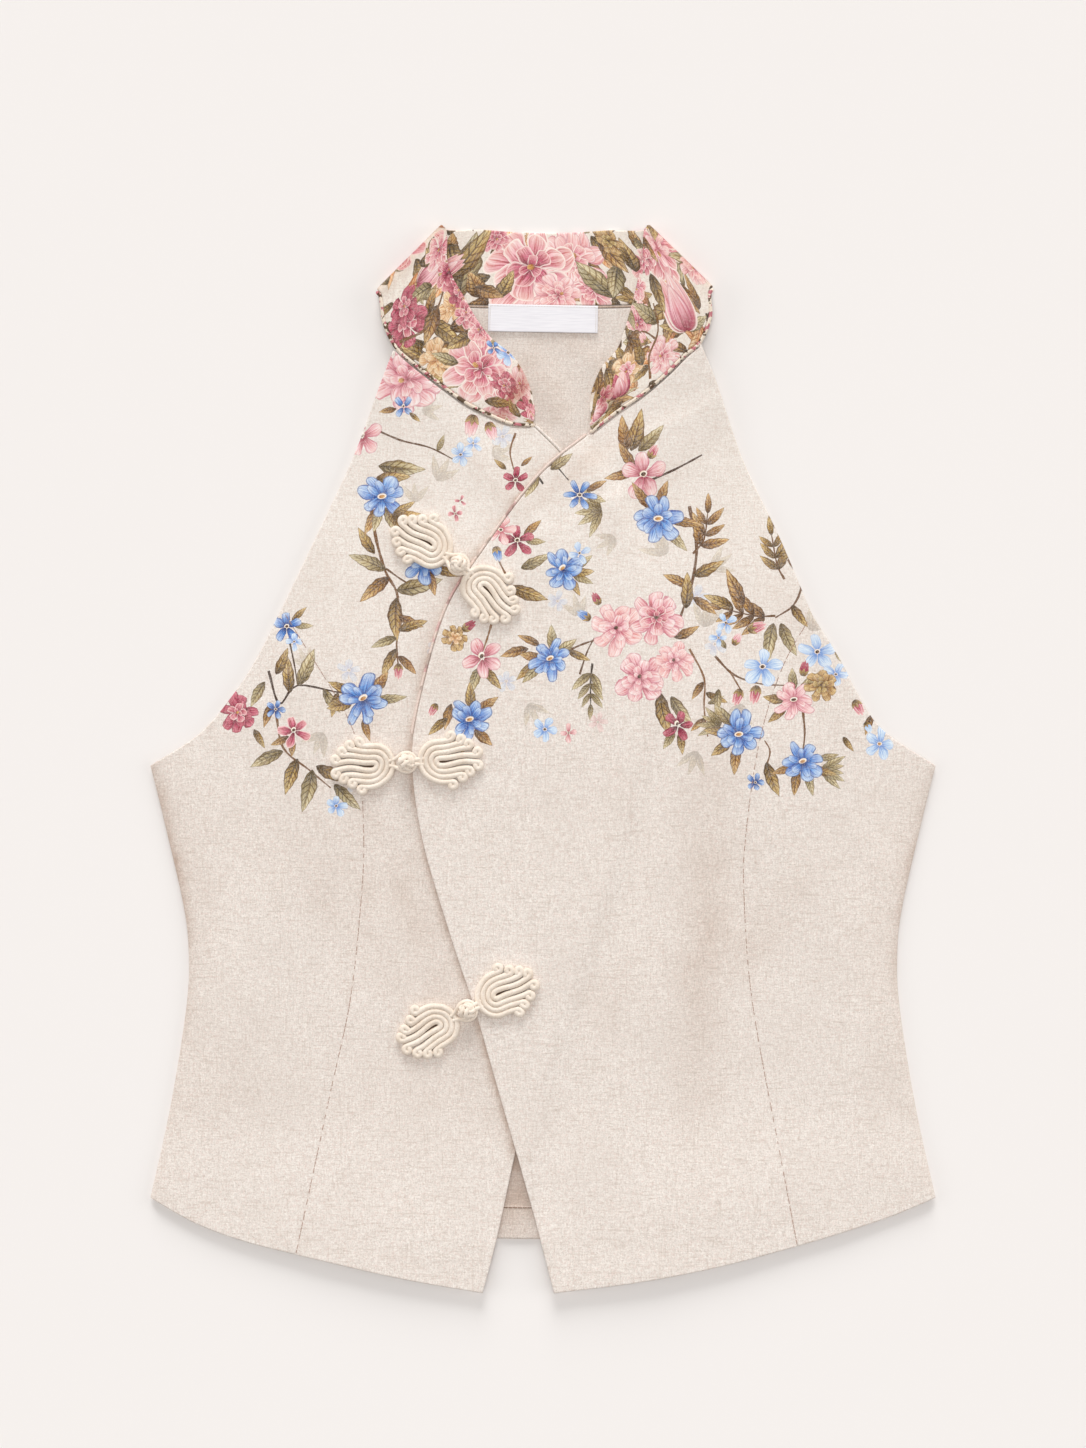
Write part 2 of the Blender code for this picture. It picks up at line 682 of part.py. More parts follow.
def united(name, curves, parts, helpers):
    """One solid from several tubes that cross."""
    meshes = [mesh_from(curve, helpers) for curve in curves]
    body, others = meshes[0], meshes[1:]
    helpers.objects.unlink(body)
    parts.objects.link(body)
    body.name = name
    body.hide_render = False
    body.display_type = "TEXTURED"
    for other in others:
        union = body.modifiers.new("Join " + other.name, "BOOLEAN")
        union.operation = "UNION"
        union.object = other
    return body


def highest_front(x, y):
    """The upper face of whichever front is on top at (x, y), or of the piping beside it."""
    beyond = distance_right_of(curve_through(OVERLAP_EDGE, 4), x, y)
    if beyond < -2 * (EDGE_PIPING_RADIUS + SEAM_GAP):
        return front_top(x, y)
    return overlap_top(x, y) + (3 * SEAM_GAP if beyond < CLOTH else 0.0)


def make_scroll(frog, turn, tail, name, parts, helpers, look):
    """Four bent cords side by side, joined under their bends by the tail of the loop or knot."""
    place = scroll_frame(frog, turn)
    clearance = SEAM_GAP + FROG_CORD_RADIUS
    tail_points = on_surface([place(*p[:2]) for p in tail], highest_front, SEAM_GAP + FROG_STEM_RADIUS)
    tail_points = [(x, y, p[2] if len(p) > 2 else z) for (x, y, z), p in zip(tail_points, tail)]
    curves = [tube(name + "_tail", tail_points, FROG_STEM_RADIUS, parts, look)]
    for level in range(4):
        plan = [place(*p) for p in scroll_cord(level)]
        points = on_surface(plan, highest_front, clearance)
        curves.append(tube(f"{name}_{level}", points, FROG_CORD_RADIUS, parts, look))
    return united(name, curves, parts, helpers)


def loop_tail(frog):
    """The loop: out from under the scroll, up round the knot below its middle, and back."""
    inside = SCROLL_FROM_KNOT + SCROLL_HALF_WIDTH
    height = knot_centre_height(frog) - LOOP_BELOW_KNOT_CENTRE
    ring = LOOP_RING_RADIUS * np.exp(1j * np.radians(np.linspace(50, 310, 9)))
    ring = [(p.real, p.imag, height) for p in ring]
    return [(inside, LOOP_HALF_WIDTH), *ring, (inside, -LOOP_HALF_WIDTH)]


def knot_tail():
    """The knot's stem, straight from the ball to under the scroll."""
    inside = SCROLL_FROM_KNOT + SCROLL_HALF_WIDTH
    outside_loop = LOOP_RING_RADIUS + 2 * (FROG_STEM_RADIUS + SEAM_GAP)
    return [(inside, 0.0), (outside_loop, 0.0)]


def knot_centre_height(frog):
    near = [(frog.x + dx, frog.y + dy) for dx in KNOT_FOOT for dy in KNOT_FOOT]
    return max(highest_front(x, y) for x, y in near) + SEAM_GAP + KNOT_RADIUS * KNOT_FLATNESS


def make_knot(frog, parts, look):
    """The ball knot, resting on the cloth inside its loop."""
    bpy.ops.mesh.primitive_uv_sphere_add(segments=14, ring_count=9, radius=KNOT_RADIUS * METRES)
    knot = bpy.context.object
    knot.name = knot.data.name = f"frog_{frog.name}_knot"
    for other in knot.users_collection:
        other.objects.unlink(knot)
    knot.scale.z = KNOT_FLATNESS
    knot.location = Vector((frog.x, frog.y, knot_centre_height(frog))) * METRES
    return finished(knot, parts, look)


def main():
    clear_scene()
    parts = bpy.data.collections.new("Mandarin collar vest")
    helpers = bpy.data.collections.new("Helpers")
    for collection in (parts, helpers):
        bpy.context.scene.collection.children.link(collection)
    linen = material("Linen", LINEN)
    printed = material("Printed cotton", PRINTED, 0.8)
    cord = material("Frog cord", CORD, 0.7)
    white = material("Woven label", WHITE, 0.6)

    flat_cloth("back", back_outline(), 0.0, CLOTH, parts, linen)
    hem_x = np.linspace(-TURN_UP_HALF_LENGTH, TURN_UP_HALF_LENGTH, 25)
    lower = np.column_stack([hem_x, back_hem(hem_x) + SEAM_GAP])
    upper = lower[::-1] + (0.0, HEM_TURN_UP)
    flat_cloth("back_hem", np.vstack([lower, upper]), CLOTH + SEAM_GAP, TURN_UP_CLOTH, parts, linen)

    side_front(
        "front_right_side", mirrored(SIDE_SEAM), ARMHOLE_RIGHT, PRINCESS_RIGHT, HEM_SIDE_RIGHT, -1,
        parts, linen,
    )
    side_front("front_left_side", SIDE_SEAM, ARMHOLE_LEFT, PRINCESS_LEFT, HEM_SIDE_LEFT, 1, parts, linen)
    centre_front(
        "front_right_centre", UNDERLAP_EDGE, neck_line_of(NECK_SEAM_RIGHT, 2), ARMHOLE_RIGHT_UPPER,
        PRINCESS_RIGHT, HEM_CENTRE_RIGHT, LEVEL_RIGHT, True, front_top, parts, linen,
    )
    centre_front(
        "front_left_centre", OVERLAP_EDGE, neck_line_of(NECK_SEAM_LEFT, 2)[::-1], ARMHOLE_LEFT_UPPER,
        PRINCESS_LEFT, HEM_CENTRE_LEFT, LEVEL_LEFT, False, overlap_top, parts, linen,
    )
    make_collar(parts, printed)
    make_pipings(parts, printed, linen)
    make_label(parts, white)
    for frog in FROGS:
        loop_name, knot_name = f"frog_{frog.name}_loop_scroll", f"frog_{frog.name}_knot_scroll"
        make_scroll(frog, frog.loop_turn, loop_tail(frog), loop_name, parts, helpers, cord)
        make_scroll(frog, frog.knot_turn, knot_tail(), knot_name, parts, helpers, cord)
        make_knot(frog, parts, cord)


main()
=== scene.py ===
"""The looks of the vest: cloth shells, printed flowers, frogs, pipings, label, floor, lights and camera.

Plans and heights are in millimetres, as in the part's own tables, and make_mesh turns them into metres.
+X is to the wearer's left, +Y to the collar and +Z up out of the front.
"""

import math
import random
from collections import namedtuple

import bpy
import numpy as np
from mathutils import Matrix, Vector
from mathutils.geometry import delaunay_2d_cdt


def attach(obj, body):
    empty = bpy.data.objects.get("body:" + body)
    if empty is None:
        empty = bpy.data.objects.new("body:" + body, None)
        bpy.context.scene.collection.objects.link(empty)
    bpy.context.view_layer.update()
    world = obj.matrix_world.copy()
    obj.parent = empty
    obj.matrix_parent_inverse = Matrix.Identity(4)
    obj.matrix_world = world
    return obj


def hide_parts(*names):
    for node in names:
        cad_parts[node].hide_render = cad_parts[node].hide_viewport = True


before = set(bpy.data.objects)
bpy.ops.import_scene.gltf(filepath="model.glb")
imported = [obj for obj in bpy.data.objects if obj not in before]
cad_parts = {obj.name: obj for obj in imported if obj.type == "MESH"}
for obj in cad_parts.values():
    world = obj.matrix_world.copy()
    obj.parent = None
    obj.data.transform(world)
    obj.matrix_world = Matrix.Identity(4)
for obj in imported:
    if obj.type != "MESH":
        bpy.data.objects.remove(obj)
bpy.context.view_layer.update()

METRES = 0.001
FADED_COVER = 0.36
RUFFLE = 0.12
RANDOM = random.Random(11)

# The garment's sizes, as in the part
CLOTH = 1.2
COLLAR_CLOTH = 1.8
SEAM_GAP = 0.3
NECK_PIPING = 1.0
BACK_PIPING = 0.6
FOLD_HEIGHT = 8.0
END_HEIGHT = 3.7

Row = namedtuple("Row", "x y")


def table(*pairs):
    """Points of an outline, in order."""
    return [Row(*pair) for pair in pairs]


# Outlines of the pieces, bottom to top. Right and left are the wearer's, so right is at -X.
SIDE_LEFT = table(
    (215, -240), (204, -190), (195.5, -137), (194, -108), (197, -80), (208.5, -30), (215, -4))
ARMHOLE_RIGHT = table((-215, -4), (-187.5, 14), (-168, 37), (-156, 56), (-143, 82))
ARMHOLE_RIGHT_UPPER = table((-143, 82), (-123, 123.5), (-103.5, 165.5), (-89.5, 203), (-81, 225))
ARMHOLE_LEFT = table((215, -4), (186.5, 15), (173.5, 33), (162.5, 54), (147, 79))
ARMHOLE_LEFT_UPPER = table((147, 79), (130, 119.5), (109.5, 163), (95, 205), (86, 227))
PRINCESS_RIGHT = table(
    (-135, -271), (-117, -186), (-105.5, -132.5), (-99.5, -78), (-98, -40), (-101, 4), (-107.5, 24),
    (-117, 40.5), (-143, 82))
PRINCESS_LEFT = table(
    (139, -266.5), (129.5, -216), (114.5, -133.5), (110, -78), (110.5, -45), (118, 8), (130.5, 49),
    (147, 79))
HEM_SIDE_RIGHT = table((-215, -240), (-190, -254), (-162.5, -264), (-135, -271))
HEM_CENTRE_RIGHT = table((-135, -271), (-78, -284), (-33, -292))
HEM_SIDE_LEFT = table((139, -266.5), (162.5, -259.5), (191, -250), (215, -240))
HEM_CENTRE_LEFT = table((6, -292), (53, -286), (97, -277.5), (139, -266.5))
UNDERLAP_EDGE = table(
    (-33, -292), (-25, -261), (-15, -215.5), (0, -154), (18, -99.5), (35, -45), (48, 10), (52, 64.5),
    (46, 108), (31, 142), (11, 165.5), (-5.5, 182))
OVERLAP_EDGE = table(
    (6, -292), (-7, -242), (-22, -190), (-37, -138), (-51.5, -94), (-66, -44), (-71.5, -2),
    (-67.5, 30.5), (-53, 81), (-30.5, 117), (-1.5, 155), (26.5, 178.5))
NECK_RIGHT = table(
    (-92, 255.5), (-87.5, 239), (-81, 225), (-71.5, 216), (-54.5, 203), (-42, 194), (-29, 187.5),
    (-17.5, 183), (-5.5, 182))
COLLAR_TOP_RIGHT = table(
    (-55.5, 292), (-51, 267.5), (-43, 252), (-35.5, 239), (-28, 229.5), (-17.5, 221), (-11, 211.5),
    (-6.5, 200), (-4.5, 189))
NECK_LEFT = table(
    (94, 257), (92, 242), (86, 227), (77.5, 220), (68, 210.5), (54.5, 199), (42, 190.5), (34, 184.5),
    (26.5, 178.5))
COLLAR_TOP_LEFT = table(
    (58, 292), (52.5, 265), (48.5, 248), (44.5, 234), (40.5, 223.5), (33, 215), (28.5, 205.5),
    (26, 196), (26, 185))
NECK_BACK = table((-92, 255.5), (-70, 249.5), (-39.5, 247.5), (0, 247), (47.5, 247.5), (74, 250), (94, 257))
COLLAR_TOP_BACK = table((-55.5, 292), (-28, 289), (2, 287.5), (34, 289), (58, 292))

# Soft ridges of the part, then the finer creases that only show here
Fold = namedtuple("Fold", "x y length width turn height")


def folds(*rows):
    return [Fold(*row) for row in rows]


FOLDS = folds(
    (-120, 5, 70, 45, 80, 1.5), (125, 0, 75, 50, 100, 1.6), (55, -110, 130, 32, 84, 1.1),
    (88, -70, 80, 14, 96, 0.7), (-160, -120, 70, 22, 75, 0.8), (165, -125, 75, 24, 106, 0.8),
    (-85, -262, 70, 28, -12, 1.7), (80, -258, 75, 28, 12, 1.7), (50, 165, 46, 9, 32, 0.9),
    (20, 122, 52, 11, 38, 0.7), (-30, 158, 34, 9, -52, 0.7), (-81, 225, 42, 42, 0, 3.9),
    (86, 227, 42, 42, 0, 3.9),
)
# Where shade is painted on the fronts: the same columns as the folds, with the depth of painted shade as the
# height
SHADE_PATCHES = folds(
    (88, -104, 100, 15, 90, 0.62), (88, -105, 34, 9, 90, 0.25), (124, -90, 34, 14, 60, 0.42),
    (37, -127, 26, 15, 80, 0.32), (42, -24, 24, 12, 90, 0.12), (-133, -61, 45, 20, -20, 0.2),
    (-104, -92, 26, 5, -38, 0.2), (-92, -112, 28, 5, -36, 0.2), (-84, -128, 24, 5, -30, 0.18),
    (-177, -176, 50, 25, 20, 0.22), (-73, -181, 50, 18, 20, 0.16), (190, -138, 55, 12, 82, 0.22),
    (-79, -62, 62, 8, -74, 0.3), (-50, -150, 60, 8, -69, 0.3), (-84, -90, 120, 40, -78, 0.16),
    (-98, -60, 50, 4, 86, 0.28), (-28, 150, 30, 7, -50, 0.3), (-92, 28, 26, 4, 84, 0.35),
    (-82, 24, 24, 3, 92, 0.3), (-56, 56, 40, 8, -68, 0.25), (146, 62, 40, 7, 118, 0.3),
    (30, 166, 30, 6, 35, 0.5), (12, 150, 30, 6, 38, 0.4), (62, 150, 34, 8, 40, 0.35),
)
# Where shade is painted on the back, in the gap at the hem and inside the neck
BACK_SHADE_PATCHES = folds(
    (-14, -208, 26, 30, 90, 2.8), (-14, -250, 34, 30, 90, 0.9), (4, 206, 60, 50, 90, 0.35),
    (0, 206, 30, 9, -56, 0.5), (24, 224, 30, 7, -42, 0.5), (-22, 214, 30, 6, -64, 0.4),
)
NECK_FOLDS = folds(
    (6, 196, 34, 7, -56, 1.1), (30, 214, 26, 6, -42, 0.9), (-14, 206, 22, 5, -64, 0.7),
    (48, 200, 20, 6, 62, 0.6),
)
CREASES = folds(
    (62, 178, 40, 4, 30, 0.5), (38, 142, 44, 4.5, 35, 0.55), (2, 128, 26, 3.5, 48, 0.35),
    (-62, 150, 40, 5, -58, 0.35), (99, -60, 75, 6, 95, 0.5), (104, 20, 40, 7, 78, 0.35),
    (130, -40, 60, 8, 98, 0.3), (-64, -75, 60, 4.5, -72, 0.35), (-80, -40, 45, 6, -80, 0.3),
    (-125, -70, 70, 8, 84, 0.25), (-110, -215, 50, 8, 70, 0.25), (30, -230, 55, 9, 76, 0.3),
    (120, -220, 45, 8, 100, 0.25), (-185, -60, 45, 6, 70, 0.4), (186, -60, 45, 6, 110, 0.4),
    (-150, 30, 40, 6, 42, 0.3), (158, 25, 40, 6, 135, 0.3), (-75, -290, 75, 15, -11, 1.6),
    (62, -289, 75, 15, 9, 1.6), (-24, -268, 26, 7, 76, 0.9), (0, -268, 26, 7, 106, 0.9),
)


def curve_through(rows, steps=12):
    """A dense polyline through the rows of a table, as a Catmull-Rom curve."""
    p = np.array([(row[0], row[1]) for row in rows], float)
    p = np.vstack([2 * p[0] - p[1], p, 2 * p[-1] - p[-2]])
    t = np.linspace(0, 1, steps, endpoint=False)[:, None]
    dense = [
        0.5 * (2 * b + (c - a) * t + (2 * a - 5 * b + 4 * c - d) * t**2 + (3 * b - a - 3 * c + d) * t**3)
        for a, b, c, d in zip(p, p[1:], p[2:], p[3:])
    ]
    return np.vstack(dense + [p[-2:-1]])


def evenly(line, count):
    """count points along a polyline, evenly spaced by length."""
    along = lengths_along(line)
    wanted = np.linspace(0, along[-1], count)
    return np.column_stack([np.interp(wanted, along, column) for column in line.T])


def lengths_along(line):
    """The distance along a polyline at each of its points."""
    return np.concatenate([[0.0], np.cumsum(np.linalg.norm(np.diff(line, axis=0), axis=1))])


def spaced(rows, step=2.2):
    """A table's curve with a point about every step millimetres."""
    line = curve_through(rows)
    return evenly(line, max(3, int(round(lengths_along(line)[-1] / step)) + 1))


def offset(line, distance):
    """A polyline moved to the left of its own direction by distance."""
    tangent = np.gradient(line, axis=0)
    tangent /= np.linalg.norm(tangent, axis=1)[:, None]
    return line + distance * np.column_stack([-tangent[:, 1], tangent[:, 0]])


def joined(*lines):
    """One line from lines that each start where the one before ends."""
    return np.vstack([lines[0]] + [line[1:] for line in lines[1:]])


def ring_of(*lines):
    """A closed outline from lines that meet end to end."""
    return joined(*lines)[:-1]


def toward(degrees):
    """The cosine and sine of a direction."""
    return math.cos(math.radians(degrees)), math.sin(math.radians(degrees))


def bell(value):
    """1 at zero, falling away on both sides."""
    return np.exp(-(value**2))


def smooth_step(value):
    t = np.clip(value, 0.0, 1.0)
    return t * t * (3 - 2 * t)


def ripple(x, y, wavelength, seed, waves=7):
    """Smooth unevenness between about -1 and 1."""
    pick = random.Random(seed)
    total = 0.0
    for _ in range(waves):
        angle, phase = pick.uniform(0, 2 * math.pi), pick.uniform(0, 2 * math.pi)
        size = 2 * math.pi / (wavelength * pick.uniform(0.7, 1.6))
        total = total + np.sin((x * math.cos(angle) + y * math.sin(angle)) * size + phase)
    return total / math.sqrt(2 * waves)


def ridges(rows, x, y):
    """The summed height of soft ridges, each a little bowed."""
    total = 0.0
    for fold in rows:
        cos, sin = toward(fold.turn)
        along = (x - fold.x) * cos + (y - fold.y) * sin
        across = (y - fold.y) * cos - (x - fold.x) * sin
        across = across + 0.05 * fold.length * np.sin(along / fold.length * 2.2 + fold.x)
        total = total + fold.height * np.exp(-((along / fold.length) ** 2) - (across / fold.width) ** 2)
    return total


def distance_to(line, x, y):
    """Distance from points to a polyline, signed positive on the line's right."""
    x, y = np.atleast_1d(np.asarray(x, float)), np.atleast_1d(np.asarray(y, float))
    start, step = line[:-1], np.diff(line, axis=0)
    result = np.empty(len(x))
    for first in range(0, len(x), 4000):
        part = slice(first, first + 4000)
        to_x, to_y = x[part, None] - start[:, 0], y[part, None] - start[:, 1]
        share = np.clip((to_x * step[:, 0] + to_y * step[:, 1]) / (step**2).sum(axis=1), 0, 1)
        away_x, away_y = to_x - share * step[:, 0], to_y - share * step[:, 1]
        distance = np.hypot(away_x, away_y)
        nearest = distance.argmin(axis=1)
        row = np.arange(len(nearest))
        side = np.sign(away_x * step[:, 1] - away_y * step[:, 0])[row, nearest]
        result[part] = distance[row, nearest] * np.where(side == 0, 1, side)
    return result


def inside(outline, points):
    """Which points lie inside a closed outline."""
    x, y = points[:, 0][:, None], points[:, 1][:, None]
    a, b = outline, np.roll(outline, -1, axis=0)
    crosses = (a[:, 1] > y) != (b[:, 1] > y)
    rise = np.where(b[:, 1] == a[:, 1], 1e-9, b[:, 1] - a[:, 1])
    at = a[:, 0] + (y - a[:, 1]) * (b[:, 0] - a[:, 0]) / rise
    return (crosses & (x < at)).sum(axis=1) % 2 == 1


UNDERLAP_LINE = curve_through(UNDERLAP_EDGE, 4)
OVERLAP_LINE = curve_through(OVERLAP_EDGE, 4)
SEAM_LINES = [curve_through(PRINCESS_RIGHT, 5), curve_through(PRINCESS_LEFT, 5)]


def front_top(x, y):
    """Height of the upper face of a front that lies on the back."""
    x, y = np.asarray(x, float), np.asarray(y, float)
    over_turn_up = 1.0 * smooth_step((-190 - y) / 45)
    height = 2 * CLOTH + SEAM_GAP + over_turn_up + ridges(FOLDS, x, y) + ridges(CREASES, x, y)
    height = height + 0.16 * ripple(x, y, 62, 3) + 0.05 * ripple(x, y, 19, 5) + 0.12
    flat_x, flat_y = np.atleast_1d(x).ravel(), np.atleast_1d(y).ravel()
    near = np.minimum(*[np.abs(distance_to(line, flat_x, flat_y)) for line in SEAM_LINES])
    near = near.reshape(np.shape(height))
    pucker = bell(near / 7) * ripple(x * 0.4, y, 8, 21)
    return height + 0.10 * pucker - 0.12 * bell(near / 2.5)


def overlap_top(x, y):
    """Height of the upper face of the left front, which passes over the underlap and its piping."""
    beyond = distance_to(UNDERLAP_LINE, x, y)
    return front_top(x, y) + 1.8 * (1 - smooth_step((beyond - 4) / 14))


def highest_front(x, y):
    """The upper face of whichever front is on top, or of the piping beside it."""
    x, y = np.atleast_1d(x), np.atleast_1d(y)
    beyond = distance_to(OVERLAP_LINE, x, y)
    upper = overlap_top(x, y) + np.where(beyond < 2, 0.6, 0)
    return np.where(beyond < -2.2, front_top(x, y), upper)


# The print: strokes of the brush, each a closed plan shape with its own u (along) and v (across)
def linear(*channels):
    """An sRGB colour as Blender's linear values."""
    return tuple(c / 12.92 if c <= 0.04045 else ((c + 0.055) / 1.055) ** 2.4 for c in channels)


Paint = namedtuple("Paint", "base mid tip rim rim_share")
PAINTS = {
    name: Paint(*[linear(*colour) for colour in colours], share)
    for name, share, *colours in (
        ("pink", 0.72, (0.64, 0.18, 0.31), (0.92, 0.67, 0.70), (0.98, 0.90, 0.88), (0.74, 0.34, 0.44)),
        ("blush", 0.60, (0.76, 0.36, 0.44), (0.94, 0.73, 0.73), (0.98, 0.88, 0.86), (0.76, 0.40, 0.47)),
        ("rose", 0.85, (0.54, 0.13, 0.25), (0.78, 0.36, 0.45), (0.93, 0.70, 0.70), (0.98, 0.90, 0.87)),
        ("petal", 0.85, (0.66, 0.22, 0.33), (0.88, 0.56, 0.60), (0.97, 0.84, 0.81), (0.99, 0.94, 0.90)),
        ("wine", 0.65, (0.40, 0.08, 0.18), (0.66, 0.21, 0.32), (0.82, 0.45, 0.51), (0.48, 0.12, 0.22)),
        ("blue", 0.84, (0.06, 0.17, 0.44), (0.33, 0.54, 0.83), (0.80, 0.87, 0.95), (0.08, 0.22, 0.52)),
        ("sky", 0.50, (0.46, 0.62, 0.86), (0.76, 0.85, 0.95), (0.89, 0.93, 0.97), (0.48, 0.64, 0.87)),
        ("olive", 0.80, (0.39, 0.28, 0.11), (0.67, 0.54, 0.30), (0.86, 0.76, 0.54), (0.33, 0.21, 0.08)),
        ("grey", 0.72, (0.48, 0.40, 0.24), (0.72, 0.65, 0.48), (0.87, 0.82, 0.69), (0.39, 0.30, 0.16)),
        ("brown", 0.76, (0.40, 0.25, 0.09), (0.67, 0.50, 0.27), (0.87, 0.74, 0.52), (0.33, 0.19, 0.07)),
        ("tan", 0.60, (0.70, 0.46, 0.27), (0.88, 0.70, 0.50), (0.96, 0.86, 0.72), (0.55, 0.34, 0.17)),
        ("twig", 0.20, (0.38, 0.24, 0.12), (0.40, 0.26, 0.13), (0.38, 0.25, 0.13), (0.30, 0.18, 0.08)),
        ("dark", 0.20, (0.24, 0.13, 0.06), (0.32, 0.19, 0.10), (0.42, 0.27, 0.15), (0.26, 0.15, 0.07)),
        ("cream", 0.40, (0.97, 0.92, 0.86), (0.98, 0.94, 0.89), (0.98, 0.94, 0.90), (0.80, 0.58, 0.38)),
        ("gold", 0.40, (0.66, 0.40, 0.15), (0.78, 0.54, 0.26), (0.87, 0.70, 0.44), (0.42, 0.23, 0.09)),
    )
}
SHAPES = {
    "petal": lambda u: u**0.5 * np.sqrt(np.clip(1 - u**4, 0, 1)),
    "leaf": lambda u: np.sin(math.pi * u**0.78) ** 0.9,
    "bud": lambda u: np.sin(math.pi * u**0.62) ** 0.8,
    "round": lambda u: np.sqrt(np.clip(1 - (2 * u - 1) ** 2, 0, 1)),
}


class Stroke:
    """A petal, leaf, bud or dot: it starts at (x, y), points along turn and curves by bend."""

    def __init__(self, x, y, turn, length, width, paint, shape="petal", bend=0.0, ruffle=0.0, cover=1.0):
        self.at = np.array([x, y], float)
        self.along = np.array(toward(turn))
        self.across = np.array([-self.along[1], self.along[0]])
        self.length, self.half, self.bend = length, 0.5 * width, bend
        self.shape, self.paint, self.cover = shape, PAINTS[paint], cover
        self.ruffle, self.phase = ruffle, RANDOM.uniform(0, 6.3)
        self.seed = RANDOM.random()
        self.leaf = shape == "leaf"

    def width(self, u):
        teeth = 0.07 * np.sin((24 if self.length > 14 else 15) * u + self.phase) if self.leaf else 0.0
        ruffled = 1 + self.ruffle * np.sin(9 * u + self.phase) + teeth
        return self.half * SHAPES[self.shape](np.clip(u, 0, 1)) * ruffled

    def plan(self, u, v):
        across = self.bend * self.length * u**2 + v * self.width(u)
        return self.at + (u * self.length)[:, None] * self.along + across[:, None] * self.across

    def outline(self):
        count = int(np.clip(self.length / (0.8 if self.leaf else 1.1), 6, 22 if self.leaf else 14))
        u = 0.5 - 0.5 * np.cos(np.linspace(0, math.pi, count))
        return np.vstack([self.plan(u, -np.ones(count)), self.plan(u[-2:0:-1], np.ones(count - 2))])

    def spine(self):
        return self.plan(np.linspace(0.12, 0.88, int(np.clip(self.length / 2, 2, 8))), np.array([0.0]))

    def local(self, points):
        away = points - self.at
        u = away @ self.along / self.length
        across = away @ self.across - self.bend * self.length * u**2
        return u, np.clip(across / np.maximum(self.width(u), 1e-3), -1, 1)


class Twig:
    """A thin stem along a curve through its points, thinner at its far end."""

    def __init__(self, points, width=1.0, paint="twig"):
        line = curve_through(points, 5)
        taper = np.linspace(1.35, 0.75, len(line))
        half = 0.5 * width * taper * (1 + 0.18 * np.sin(np.arange(len(line)) * 1.7))
        left = (offset(line, 1.0) - line) * half[:, None]
        self.body = np.vstack([line - left, (line + left)[::-1]])
        self.paint, self.cover, self.seed, self.leaf = PAINTS[paint], 1.0, RANDOM.random(), False

    def outline(self):
        return self.body

    def spine(self):
        return None

    def local(self, points):
        return np.full(len(points), 0.5), np.zeros(len(points))


def wobble(value, share=0.12):
    """The value, up to a share more or less at random."""
    return value * (1 + RANDOM.uniform(-share, share))


def leaves_behind(x, y, radius, count):
    """Small leaves that stand out from under a flower, in pairs."""
    made = []
    for _ in range(count):
        ahead = RANDOM.uniform(0, 360)
        for side in (-17, 17):
            cos, sin = toward(ahead + side)
            length, width = wobble(1.05 * radius + 2), wobble(0.36 * radius + 1)
            paint, bend = RANDOM.choice(("olive", "brown", "grey")), RANDOM.uniform(-0.15, 0.15)
            foot = x + 0.45 * radius * cos, y + 0.45 * radius * sin
            made.append(Stroke(*foot, ahead + 1.6 * side, length, width, paint, "leaf", bend))
    return made


def blossom(x, y, radius, paint, petals=5, turn=0.0, slim=0.80, heart="dark"):
    """An open flower of a few rounded petals about a small heart."""
    made = leaves_behind(x, y, radius, 1) if 8 < radius < 14 and paint != "sky" else []
    order = list(range(petals))
    RANDOM.shuffle(order)
    for i in order:
        angle = turn + 360 * i / petals + RANDOM.uniform(-8, 8)
        cos, sin = toward(angle)
        made.append(Stroke(x + 0.08 * radius * cos, y + 0.08 * radius * sin, angle, wobble(0.92 * radius),
                           wobble(slim * radius), paint, bend=RANDOM.uniform(-0.16, 0.16), ruffle=RUFFLE))
    made.append(Stroke(x - 0.17 * radius, y, turn, 0.34 * radius, 0.26 * radius, "cream", "round"))
    made.append(Stroke(x - 0.11 * radius, y, turn, 0.22 * radius, 0.17 * radius, heart, "round"))
    return made


def double_blossom(x, y, radius, paint, turn=0.0, heart="gold"):
    """A flower of many narrow petals in two rounds."""
    made = leaves_behind(x, y, radius, 2)
    for count, reach, shift in ((7, 1.0, 0.0), (6, 0.68, 26.0)):
        for i in range(count):
            angle = turn + shift + 360 * i / count + RANDOM.uniform(-7, 7)
            made.append(Stroke(x, y, angle, wobble(reach * radius, 0.16), wobble(0.72 * reach * radius, 0.2),
                               paint, bend=RANDOM.uniform(-0.24, 0.24), ruffle=RUFFLE))
    made.append(Stroke(x - 0.2 * radius, y, turn, 0.4 * radius, 0.24 * radius, "cream", "round"))
    made.append(Stroke(x - 0.13 * radius, y, turn, 0.26 * radius, 0.14 * radius, heart, "round"))
    return made


def peony(x, y, radius, paint, turn=0.0, inner=None, heart="gold", flat=1.0):
    """A full flower: rounds of broad ruffled petals, the inner ones on top."""
    made = []
    rounds = ((7, 0.28, 0.74, 0.80), (6, 0.14, 0.62, 0.68), (5, 0.05, 0.46, 0.52), (3, 0.0, 0.27, 0.32))
    for level, (count, start, length, width) in enumerate(rounds):
        for i in range(count):
            angle = turn + 31 * level + 360 * i / count + RANDOM.uniform(-9, 9)
            cos, sin = toward(angle)
            colour = inner if inner and level > 1 else paint
            made.append(Stroke(x + start * radius * cos, y + flat * start * radius * sin, angle,
                               wobble(length * radius), wobble(width * radius), colour,
                               bend=RANDOM.uniform(-0.24, 0.24), ruffle=RUFFLE))
    made.append(Stroke(x - 0.09 * radius, y, turn, 0.18 * radius, 0.14 * radius, heart, "round"))
    return made


